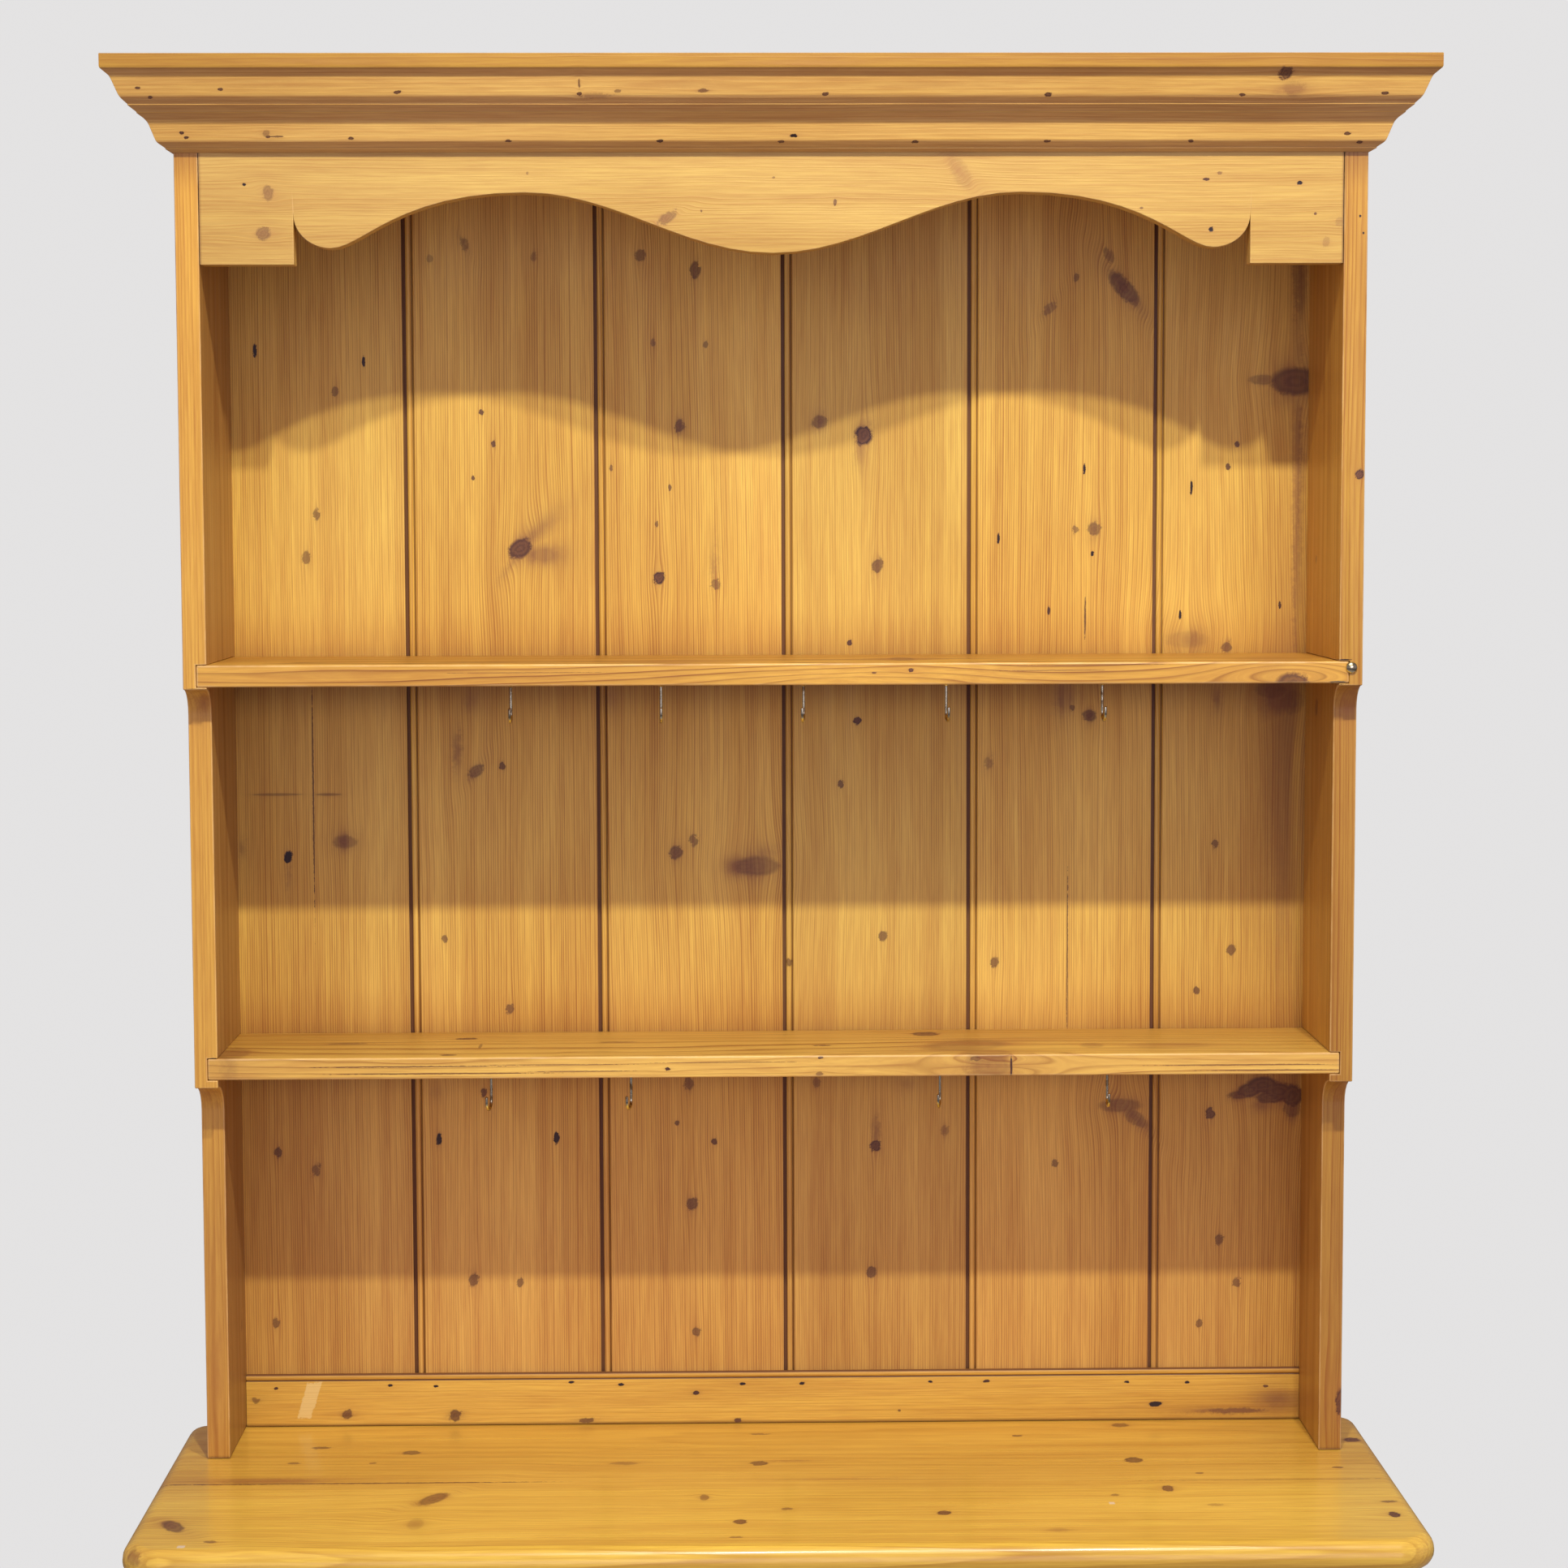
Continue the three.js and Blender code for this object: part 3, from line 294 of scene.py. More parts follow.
# Which way a board lies: the axes across its face, through its depth and along its grain
grainAxes = {
    "upFront": (0, 1, 2),
    "upSide": (1, 0, 2),
    "longFront": (2, 1, 0),
    "longFlat": (1, 2, 0),
    "deepSide": (2, 0, 1),
}

# Colours of the waxed pine, as linear values: early wood, late wood, stain round knots, and the pale colour
# of worn edges, which is partly a painted highlight
pineTones = {
    "waxed_pine": {
        "early": (0.75, 0.420, 0.064, 1),
        "late": (0.52, 0.222, 0.026, 1),
        "stain": (0.38, 0.150, 0.036, 1),
        "worn": (0.92, 0.68, 0.30, 1),
        "lateShare": 0.62,
        "roughness": 0.38,
    },
    "pale_pine": {
        "early": (0.68, 0.425, 0.108, 1),
        "late": (0.54, 0.276, 0.052, 1),
        "stain": (0.46, 0.225, 0.072, 1),
        "worn": (0.84, 0.62, 0.30, 1),
        "lateShare": 0.6,
        "roughness": 0.46,
    },
    "back_pine": {
        "early": (0.89, 0.595, 0.110, 1),
        "late": (0.50, 0.225, 0.040, 1),
        "stain": (0.27, 0.120, 0.042, 1),
        "worn": (0.86, 0.58, 0.22, 1),
        "lateShare": 0.66,
        "roughness": 0.47,
    },
    "inner_pine": {
        "early": (0.80, 0.60, 0.23, 1),
        "late": (0.62, 0.38, 0.11, 1),
        "stain": (0.45, 0.25, 0.11, 1),
        "worn": (0.84, 0.66, 0.38, 1),
        "lateShare": 0.6,
        "roughness": 0.62,
    },
}
knotColours = {
    "brown": (0.095, 0.036, 0.020, 1), "black": (0.022, 0.012, 0.010, 1), "grime": (0.125, 0.042, 0.022, 1),
}


# What a board's wood is like unless the board says otherwise
plainLook = {
    "pith": None,
    "lean": 0.0,
    "pitch": 0.0028,
    "uneven": 4,
    "wander": 0.012,
    "sharp": 2.2,
    "tint": 1.0,
    "wear": 0.35,
    "grime": None,
    "fades": (),
    "creases": (),
    "frontTo": None,
    "underside": None,
    "polish": 0,
}
# Shares and limits of the finish; where four numbers stand together they are two limits and the values there
woodFinish = {
    "pithAcross": (0.25, 0.5),
    "pithDepth": (-0.12, 0.12),
    "seedStep": 1.37,
    "seedSpan": 50,
    "wobbleNoise": {"scale": 150, "detail": 5.0, "roughness": 0.8},
    "wobble": 2.4,
    "nearCore": 0.2,
    "tones": (0.3, 0.7),
    "leastLate": 0.65,
    "mostLate": 1.2,
    "warming": (0.35, 0.7),
    "cool": (1.05, 1.05, 1.06, 1),
    "warm": (0.92, 0.87, 0.77, 1),
    "streakShade": (0.25, 0.8, 1.10, 0.84),
    "fibreShade": (0.25, 0.75, 1.12, 0.85),
    "redShade": (0.62, 0.365),
    "frontEdge": 0.0006,
    "stainStreaks": (0.3, 0.65, 0.35, 1.0),
    "ringDensity": 15.0,
    "ringStain": (-1.0, 1.0, 0.0, 0.28),
    "blackening": (0.96, 1.10),
    "grimeShare": 0.88,
    "grimeDepth": (0.0030, 0.0036),
    "downward": (-0.45, -0.7),
    "rubNoise": {"scale": 45, "detail": 3.0},
    "rub": (0.3, 0.7, 0.3, 1.0),
    "bump": 0.32,
    "bumpDepth": 0.0005,
    "roughening": (0.2, 0.8),
    "smoother": 0.05,
    "rougher": 0.09,
    "specular": 0.42,
    "coatRoughness": 0.13,
    "coatIor": 1.35,
}


def makePine(name, slot, grain, seed, knots=(), patches=(), **changes):
    look = {**pineTones[slot], **plainLook, **changes}
    finish = woodFinish
    draw = random.Random(seed)
    pith = look["pith"]
    if not pith:
        beside = draw.uniform(*finish["pithAcross"]) * draw.choice((-1, 1))
        pith = (beside, draw.uniform(*finish["pithDepth"]))
    material, tree = newMaterial(name)
    place = put(tree, "TexCoord").outputs["Object"]
    axes = put(tree, "SeparateXYZ", {0: place}).outputs
    across, depth, along = grainAxes[grain]
    flow = {"Core": 0.0, "Halo": 0.0, "Rings": 9.0}
    shifts = {across: 0.0, depth: 0.0}
    if knots or patches:
        noise = cloud(tree, place, **finish["wobbleNoise"])
        wobble = times(tree, minus(tree, noise, 0.5), finish["wobble"])
    for knot in knots:
        made = put(tree, "Group", node_tree=knotGroup)
        wide = knot["axis"]
        feeds = {"Across": axes[wide], "Along": axes[along], "Wobble": wobble, "Shift": shifts[wide]}
        feeds.update(flow)
        feeds.update(knot["sizes"])
        if knot["near"]:
            axis, value, reach = knot["near"]
            away = apart(tree, axes[axis], value)
            near = ramp(tree, away, reach, reach * finish["nearCore"])
            for label in ("Dark", "Stain", "Push"):
                feeds[label] = times(tree, near, feeds[label])
        for label, value in feeds.items():
            feed(tree, made.inputs[label], value)
        flow = {label: made.outputs[label] for label in flow}
        shifts[wide] = made.outputs["Shift"]
    wood = put(tree, "Group", node_tree=grainGroup)
    feeds = {"Across": minus(tree, axes[across], shifts[across]), "Along": axes[along]}
    feeds["Depth"] = minus(tree, axes[depth], shifts[depth])
    feeds["PithAcross"], feeds["PithDepth"] = pith
    for label in ("lean", "pitch", "wander", "sharp", "uneven"):
        feeds[label.capitalize()] = look[label]
    feeds["Seed"] = seed * finish["seedStep"] % finish["seedSpan"]
    for label, value in feeds.items():
        feed(tree, wood.inputs[label], value)
    grainOut = wood.outputs

    least, most = finish["leastLate"] * look["lateShare"], finish["mostLate"] * look["lateShare"]
    strength = ramp(tree, grainOut["Tone"], *finish["tones"], least, most)
    colour = blendColour(tree, times(tree, grainOut["Late"], strength), look["early"], look["late"])
    warmth = ramp(tree, grainOut["Tone"], *finish["warming"])
    warm = blendColour(tree, warmth, finish["cool"], finish["warm"])
    colour = blendColour(tree, 1.0, colour, warm, "MULTIPLY")
    shade = ramp(tree, grainOut["Streak"], *finish["streakShade"])
    shade = times(tree, shade, ramp(tree, grainOut["Fibre"], *finish["fibreShade"]))
    redShade = timesPlus(tree, shade, *finish["redShade"])
    shade = times(tree, shade, look["tint"])
    redShade = times(tree, redShade, look["tint"])
    colour = blendColour(tree, 1.0, colour, joined(tree, redShade, shade, shade), "MULTIPLY")
    inFront = 1.0
    if look["frontTo"]:
        inFront = ramp(tree, axes[1], look["frontTo"], look["frontTo"] + finish["frontEdge"], 1.0, 0.0)
    for axis, near, far, there in look["fades"]:
        share = times(tree, ramp(tree, axes[axis], near, far), inFront)
        colour = blendColour(tree, share, colour, there, "MULTIPLY")
    # Painted shade: darker bands along joints, contact lines and under parts
    for axis, crease, reach, there in look["creases"]:
        away = apart(tree, axes[axis], crease)
        share = times(tree, ramp(tree, away, reach, 0.0), inFront)
        colour = blendColour(tree, share, colour, there, "MULTIPLY")
    if knots:
        stain = times(tree, flow["Halo"], ramp(tree, grainOut["Streak"], *finish["stainStreaks"]))
        colour = blendColour(tree, stain, colour, look["stain"])
        circles = calc(tree, "SINE", times(tree, flow["Rings"], finish["ringDensity"]))
        ringShare = ramp(tree, circles, *finish["ringStain"])
        brown = blendColour(tree, ringShare, knotColours["brown"], look["stain"])
        colour = blendColour(tree, flow["Core"], colour, brown)
        blackShare = ramp(tree, flow["Core"], *finish["blackening"])
        colour = blendColour(tree, blackShare, colour, knotColours["black"])
    for patch in patches:
        colour = blendColour(tree, patchShare(tree, axes, patch, wobble), colour, patch["colour"])
    # Recesses: the walls of grooves and quirks are darkened, partly as dirt and partly as painted shade
    if look["grime"]:
        axis, plainAt, darkAt = look["grime"]
        dirtAndShade = ramp(tree, axes[axis], plainAt, darkAt, 0.0, finish["grimeShare"])
        ends = [darkAt + depth for depth in finish["grimeDepth"]]
        dirtAndShade = times(tree, dirtAndShade, ramp(tree, axes[axis], *ends, 1.0, 0.0))
        colour = blendColour(tree, dirtAndShade, colour, knotColours["grime"])
    # Painted shade: faces that look downwards are darkened
    if look["underside"]:
        facing = put(tree, "SeparateXYZ", {0: put(tree, "NewGeometry").outputs["True Normal"]}).outputs[2]
        downShadeShare = ramp(tree, facing, *finish["downward"])
        colour = blendColour(tree, downShadeShare, colour, look["underside"], "MULTIPLY")
    # Eased edges turn paler: partly real wear, partly a painted highlight
    if look["wear"]:
        worn = put(tree, "Attribute", attribute_name="arris").outputs["Fac"]
        edgeWearAndHighlightShare = ramp(tree, cloud(tree, place, **finish["rubNoise"]), *finish["rub"])
        edgeWearAndHighlightShare = times(tree, times(tree, worn, edgeWearAndHighlightShare), look["wear"])
        colour = blendColour(tree, edgeWearAndHighlightShare, colour, look["worn"])
    feeds = {"Strength": finish["bump"], "Distance": finish["bumpDepth"], "Height": grainOut["Height"]}
    bump = put(tree, "Bump", feeds).outputs[0]
    least, most = look["roughness"] - finish["smoother"], look["roughness"] + finish["rougher"]
    rough = ramp(tree, grainOut["Streak"], *finish["roughening"], least, most)
    shader = put(tree, "BsdfPrincipled", {"Base Color": colour, "Roughness": rough, "Normal": bump})
    shader.inputs["Specular IOR Level"].default_value = finish["specular"]
    shader.inputs["Coat Weight"].default_value = look["polish"]
    shader.inputs["Coat Roughness"].default_value = finish["coatRoughness"]
    shader.inputs["Coat IOR"].default_value = finish["coatIor"]
    feed(tree, put(tree, "OutputMaterial").inputs[0], shader.outputs[0])
    return material


patchForm = {"ragged": 0.4, "outline": (1.06, 0.94)}


def patchShare(tree, axes, patch, wobble):
    # A ragged oblong of another colour, such as old glue or a chip
    u = minus(tree, axes[patch["axis"]], patch["centre"][0])
    v = minus(tree, axes[patch["along"]], patch["centre"][1])
    v = timesPlus(tree, u, patch["lean"], v)
    u = calc(tree, "ABSOLUTE", over(tree, u, patch["half"][0]))
    v = calc(tree, "ABSOLUTE", over(tree, v, patch["half"][1]))
    reach = timesPlus(tree, wobble, patchForm["ragged"], calc(tree, "MAXIMUM", u, v))
    return ramp(tree, reach, *patchForm["outline"], 0.0, patch["share"])


metalFinish = {"stainScale": 170, "stained": (0.42, 0.72), "roughening": (0.3, 0.75), "rougher": 0.22}


def makeMetal(name, colour, tarnish, roughness):
    material, tree = newMaterial(name)
    place = put(tree, "TexCoord").outputs["Object"]
    stains = cloud(tree, place, scale=metalFinish["stainScale"])
    tone = blendColour(tree, ramp(tree, stains, *metalFinish["stained"]), colour, tarnish)
    rough = ramp(tree, stains, *metalFinish["roughening"], roughness, roughness + metalFinish["rougher"])
    shader = put(tree, "BsdfPrincipled", {"Base Color": tone, "Roughness": rough})
    shader.inputs["Metallic"].default_value = 1.0
    feed(tree, put(tree, "OutputMaterial").inputs[0], shader.outputs[0])
    return material


hookChrome = makeMetal("hookChrome", (0.80, 0.80, 0.50, 1), (0.28, 0.20, 0.09, 1), 0.14)
pinChrome = makeMetal("pinChrome", (0.78, 0.72, 0.42, 1), (0.46, 0.40, 0.20, 1), 0.15)
hingeBrass = makeMetal("hingeBrass", (0.72, 0.53, 0.24, 1), (0.34, 0.22, 0.10, 1), 0.30)


# Knots and marks. Those the photograph shows are given by its pixels: place, half size across the grain, half
# size along it, then how dark the core is, how strong the stain is, how far the grain is pushed, and a lean.
knotDarkness = 1.12
darkestKnot = 1.1
stainShare = 0.3
edgeReach = 0.03  # metres: how far a mark on a board's edge goes in
pushShares = {"upFront": 0.45, "upSide": 0.6, "longFront": 0.5, "longFlat": 1.0}


def seenMark(grain, plane, pixelX, pixelY, halfWidth, halfLength, dark=0.6, stain=0.3, push=1.2, lean=0.0):
    axis, value = plane
    across, depth, along = grainAxes[grain]
    edge = axis == across
    point = seenOn(pixelX, pixelY, axis, value)
    if along == 2:
        beside = seenOn(pixelX + halfWidth, pixelY, axis, value)
        beyond = seenOn(pixelX, pixelY + halfLength, axis, value)
    else:
        beside = seenOn(pixelX, pixelY + halfWidth, axis, value)
        beyond = seenOn(pixelX + halfLength, pixelY, axis, value)
    wide = depth if edge else across
    sizes = {
        "CentreAcross": point[wide],
        "CentreAlong": point[along],
        "HalfWidth": abs(beside[wide] - point[wide]),
        "HalfLength": abs(beyond[along] - point[along]),
        "Dark": min(dark * knotDarkness, darkestKnot),
        "Stain": stain * stainShare,
        "Push": push * pushShares[grain],
        "Lean": lean,
    }
    return {"axis": wide, "sizes": sizes, "near": (axis, value, edgeReach) if edge else None}


scatterForm = {
    "largest": 0.009,
    "sizes": (0.2, 1),
    "sizeSkew": 1.6,
    "lengths": (0.9, 1.5),
    "dark": (0.4, 0.75),
    "stain": (0.05, 0.2),
    "push": (1.1, 1.6),
    "lean": (-0.3, 0.3),
}


def scatteredKnots(node, grain, count, seed):
    low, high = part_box(node)
    across, _, along = grainAxes[grain]
    draw = random.Random(seed)
    form = scatterForm
    knots = []
    for _ in range(count):
        size = form["largest"] * draw.uniform(*form["sizes"]) ** form["sizeSkew"]
        sizes = {
            "CentreAcross": draw.uniform(low[across], high[across]),
            "CentreAlong": draw.uniform(low[along], high[along]),
            "HalfWidth": size,
            "HalfLength": size * draw.uniform(*form["lengths"]),
            "Dark": draw.uniform(*form["dark"]),
            "Stain": draw.uniform(*form["stain"]),
            "Push": draw.uniform(*form["push"]),
            "Lean": draw.uniform(*form["lean"]),
        }
        knots.append({"axis": across, "sizes": sizes, "near": None})
    return knots


backFront = 0.18115
friezeFront = 0.01615
cornicePlanes = {"crown": -0.032, "swell": -0.020, "foot": 0.0}
shelfFronts = {"upper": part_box("upper_shelf")[0].y, "lower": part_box("lower_shelf")[0].y}
shelfTops = {"upper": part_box("upper_shelf")[1].z, "lower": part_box("lower_shelf")[1].z}
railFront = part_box("back_bottom_rail")[0].y
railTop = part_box("back_bottom_rail")[1].z
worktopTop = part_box("worktop")[1].z
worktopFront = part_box("worktop")[0].y + 0.006
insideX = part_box("frieze")[1].x
sideFronts = {"upper": 0.01615, "middle": 0.04115, "lower": 0.07515}

backMarks = [
    (314, 432, 2.5, 9, 1.0, 0.5, 0.6), (448, 446, 2, 7, 0.95, 0.3, 0.5), (413, 482, 4, 6, 0.5, 0.4),
    (390, 634, 4, 7, 0.55, 0.5), (377, 688, 5, 8, 0.5, 0.6), (593, 508, 3, 4, 0.8, 0.4),
    (608, 547, 3, 4, 0.8, 0.4), (583, 589, 2, 3, 0.8, 0.3), (641, 676, 13, 13, 0.80, 1.6, 1.8, -0.3),
    (662, 656, 20, 20, 0.0, 0.9, 0.0, -0.9), (670, 684, 28, 9, 0.0, 1.5, 0.0),
    (630, 694, 8, 12, 0.0, 1.0, 0.0, -0.5), (812, 712, 7, 7.5, 0.85, 0.7, 1.5),
    (812, 700, 12, 24, 0.0, 0.1, 0.8), (882, 720, 6, 7, 0.5, 0.9, 1.3), (880, 700, 7, 20, 0.0, 1.0, 0.4),
    (857, 332, 6, 10, 0.6, 0.9), (805, 422, 3, 5, 0.5, 0.4), (869, 425, 3, 4, 0.5, 0.4),
    (838, 524, 6, 7, 0.55, 1.2, 1.0), (753, 577, 2, 4, 0.6, 0.3), (809, 646, 2, 4, 0.6, 0.3),
    (825, 601, 2, 4, 0.7, 0.3), (572, 300, 5, 7, 0.35, 0.9, 1.3, 0.4), (530, 318, 4, 5, 0.3, 0.5),
    (658, 316, 4, 5, 0.3, 0.5), (789, 315, 7, 7, 0.5, 0.6, 1.6), (1010, 520, 9, 8, 0.45, 1.3, 1.2),
    (1064, 536, 11, 12, 0.85, 1.5, 1.7), (1060, 550, 12, 22, 0.0, 0.8, 0.3), (1081, 697, 6, 8, 0.6, 0.7),
    (1047, 792, 3.2, 3.4, 0.88, 0.4), (1385, 355, 13, 20, 0.55, 1.3, 1.3, 0.7),
    (1366, 314, 6, 8, 0.3, 0.9, 0.8, 0.5), (1293, 380, 7, 8, 0.35, 0.6, 1.0, -0.6),
    (1326, 342, 3, 5, 0.5, 0.4), (1348, 652, 8, 8, 0.5, 0.8, 1.4), (1325, 652, 4, 5, 0.5, 0.5),
    (1336, 578, 1.6, 6, 1.0, 0.3, 0.3), (1468, 600, 1.6, 8, 1.0, 0.3, 0.3),
    (1230, 664, 1.6, 6, 1.0, 0.3, 0.3), (1346, 682, 2, 3, 1.0, 0.2, 0.3),
    (1292, 753, 1.6, 5, 0.9, 0.2, 0.3), (1337, 760, 1.0, 24, 0.8, 0.2, 0.2),
    (1454, 758, 1.6, 6, 1.0, 0.3, 0.3), (1577, 745, 1.6, 5, 0.9, 0.4, 0.3),
    (1596, 470, 30, 17, 0.62, 1.4, 1.5), (1556, 468, 18, 6, 0.35, 0.9, 0.8), (1524, 548, 3, 4, 0.8, 0.4),
    (1513, 575, 3, 4, 0.8, 0.4), (1512, 797, 6, 6, 0.55, 0.9, 2.0), (1462, 788, 26, 10, 0.1, 1.1, 1.8),
    (1598, 640, 9, 220, 0.0, 1.0, 0.0), (1602, 330, 9, 60, 0.2, 0.9, 0.0), (355, 1056, 5, 7, 0.98, 0.8),
    (425, 1037, 15, 8, 0.30, 1.3, 0.6), (341, 979, 30, 1.5, 0.35, 0.5, 0.0),
    (404, 979, 16, 1.5, 0.35, 0.6, 0.0), (298, 1046, 7, 9, 0.0, 1.1, 0.2),
    (356, 1078, 5, 14, 0.0, 0.7, 0.0), (587, 950, 9, 8, 0.5, 1.2, 1.2, -0.5), (619, 944, 4, 5, 0.7, 0.6),
    (563, 925, 7, 20, 0.05, 0.9, 0.5), (548, 1157, 4, 5, 0.6, 0.5), (628, 1243, 5, 6, 0.6, 0.5),
    (583, 862, 14, 13, 0.0, 0.7, 0.6), (750, 860, 15, 15, 0.0, 0.7, 0.6), (833, 1050, 8, 8, 0.6, 0.9),
    (855, 1035, 6, 7, 0.5, 0.7), (934, 1067, 26, 12, 0.36, 1.5, 0.8), (916, 1068, 30, 9, 0.0, 1.5, 0.4),
    (944, 1052, 16, 9, 0.0, 1.2, 0.4), (1036, 966, 4, 5, 0.7, 0.5), (1056, 888, 4.5, 4.5, 0.86, 0.8),
    (1088, 1153, 5, 6, 0.6, 0.5), (972, 1186, 4, 5, 0.6, 0.5), (1225, 1186, 5, 6, 0.6, 0.5),
    (1313, 858, 16, 18, 0.05, 1.3, 0.8), (1321, 872, 3, 4, 0.6, 0.5), (1342, 882, 9, 7, 0.55, 1.1, 1.1),
    (1218, 940, 6, 7, 0.25, 0.7, 0.9), (1474, 1221, 4, 5, 0.7, 0.5), (1517, 1170, 5, 6, 0.6, 0.5),
    (1497, 1040, 4, 5, 0.6, 0.5), (1578, 856, 34, 22, 0.0, 1.5, 0.8), (1566, 850, 20, 10, 0.25, 1.3, 0.4),
    (1592, 866, 14, 14, 0.2, 1.3, 0.2), (1500, 860, 8, 13, 0.0, 0.8, 1.4),
    (1592, 985, 44, 200, 0.0, 0.85, 0.0), (343, 1420, 5, 6, 0.7, 0.8), (390, 1442, 6, 7, 0.5, 0.6),
    (541, 1404, 3.5, 7, 0.95, 0.5), (686, 1401, 3.5, 7, 0.95, 0.5), (596, 1346, 4, 5, 0.7, 0.9),
    (540, 1346, 22, 10, 0.0, 0.35, 0.4), (584, 1577, 6, 7, 0.6, 0.7), (641, 1580, 4, 5, 0.6, 0.5),
    (853, 1483, 7, 8, 0.65, 0.8), (880, 1407, 4, 4, 0.8, 0.5), (834, 1384, 3, 3, 0.7, 0.4),
    (849, 1334, 6, 8, 0.5, 0.8, 1.0), (1079, 1412, 7, 7, 0.8, 0.9, 1.4), (1079, 1394, 6, 18, 0.1, 0.9, 0.4),
    (1164, 1393, 5, 6, 0.3, 0.7), (1118, 1336, 14, 8, 0.0, 0.9, 0.4), (1006, 1334, 5, 6, 0.4, 0.7),
    (1074, 1567, 6, 7, 0.65, 0.7), (1300, 1433, 4, 5, 0.6, 0.5), (1380, 1362, 26, 8, 0.35, 1.3, 1.2, 0.0),
    (1400, 1378, 12, 12, 0.3, 1.2, 0.8, 0.8), (1491, 1372, 6, 7, 0.75, 0.7, 1.4),
    (1556, 1337, 20, 10, 0.72, 1.8, 0.8), (1540, 1343, 15, 9, 0.70, 1.6, 0.4, -0.3),
    (1576, 1345, 19, 11, 0.72, 1.8, 0.4, 0.3), (1566, 1352, 20, 7, 0.66, 1.6, 0.0, -0.2),
    (1592, 1350, 13, 14, 0.72, 1.8, 0.3), (1528, 1349, 15, 5, 0.5, 1.4, 0.2, -0.35),
    (1592, 1366, 11, 10, 0.35, 1.6, 0.2), (1556, 1361, 22, 7, 0.0, 1.2, 0.0), (1502, 1527, 5, 6, 0.6, 0.5),
    (1524, 1580, 5, 6, 0.6, 0.5), (1478, 1630, 4, 5, 0.6, 0.5), (858, 1641, 5, 6, 0.6, 0.5),
    (340, 1630, 5, 6, 0.6, 0.5), (386, 980, 1.0, 130, 0.75, 0.0, 0.0),
    (1315, 1185, 0.8, 100, 0.75, 0.0, 0.0), (276, 905, 3, 30, 0.5, 0.8, 0.2),
    (1611, 971, 2, 18, 0.9, 0.5, 0.2),
]
friezeMarks = [
    (330, 238, 9, 6, 0.40, 0.7, 1.7, 0.3), (325, 287, 8, 9, 0.46, 0.8, 2.2),
    (301, 227, 2, 2.2, 1.0, 0.3, 0.2), (822, 268, 7, 11, 0.42, 0.9, 1.9, -0.4),
    (650, 213, 2, 1.5, 0.4, 0.1), (1029, 249, 4, 2, 0.7, 0.3), (1183, 212, 16, 14, 0.10, 0.8, 1.2, 0.9),
    (864, 260, 1.5, 1.5, 0.7, 0.1), (953, 219, 1.5, 1.5, 0.5, 0.1), (1486, 221, 1.8, 4, 0.9, 0.4),
    (1503, 213, 2, 3, 0.5, 0.5), (1602, 225, 2.6, 3, 1.0, 0.6), (1492, 283, 3, 3, 1.0, 0.6),
    (1621, 263, 1.6, 1.8, 0.8, 0.2), (1651, 273, 6, 5, 0.2, 0.5), (1634, 298, 6, 4, 0.2, 0.5),
    # The long dark lines at the frieze's ends are painted shade in the joints with the sides
    (1407, 256, 1.5, 2, 0.6, 0.1), (243, 260, 140, 2.4, 1.2, 0.0, 0.0),
    (1657, 260, 140, 2.0, 1.2, 0.0, 0.0),
]
crownMarks = [
    (1585, 89, 8, 8, 0.78, 1.0, 2.0), (1000, 78, 5, 60, 0.0, 0.4, 1.0), (400, 76, 4, 70, 0.0, 0.4, 1.2),
]
swellMarks = [
    (171, 109, 1.6, 3.5, 0.84), (272, 111, 1.7, 3.6, 0.84), (490, 114, 1.8, 4, 0.84, 0.9),
    (714, 116, 2, 3, 0.84), (714, 104, 7, 1.2, 0.7, 0.3), (734, 118, 3, 18, 0.2, 1.3),
    (761, 113, 2, 4, 0.5, 0.5), (867, 112, 2.2, 6, 0.6, 1.2), (850, 104, 8, 40, 0.0, 0.3, 1.8),
    (1017, 116, 2, 4, 0.84), (1150, 106, 7, 60, 0.0, 0.2, 1.8), (1291, 117, 2.4, 5, 0.85),
    (1530, 117, 1.8, 4, 0.84), (1592, 110, 9, 14, 0.1, 1.4, 1.6), (1706, 115, 1.8, 5, 0.84),
    (185, 120, 1.6, 3, 0.8), (330, 104, 7, 50, 0.0, 0.2, 1.6),
]
footMarks = [
    (224, 163, 2, 3, 0.9), (229, 169, 1.6, 3, 0.9), (328, 164, 4, 4, 0.35, 0.9, 1.6),
    (330, 168, 1.5, 3, 0.84, 0.5), (340, 168, 1.1, 8, 0.7, 0.3, 0.3), (432, 170, 1.8, 3.5, 0.84),
    (626, 173, 1.6, 4, 0.84), (813, 173, 1.6, 4, 0.9), (962, 174, 1.6, 4, 0.8),
    (978, 167, 2.2, 5, 1.0, 0.9), (1128, 174, 1.8, 4, 0.84), (1291, 173, 1.6, 4, 0.84),
    (1468, 173, 1.6, 4, 0.84), (1661, 164, 2, 4, 0.84), (1677, 174, 1.8, 4, 0.84),
    (1172, 188, 3, 5, 0.4, 0.9),
]
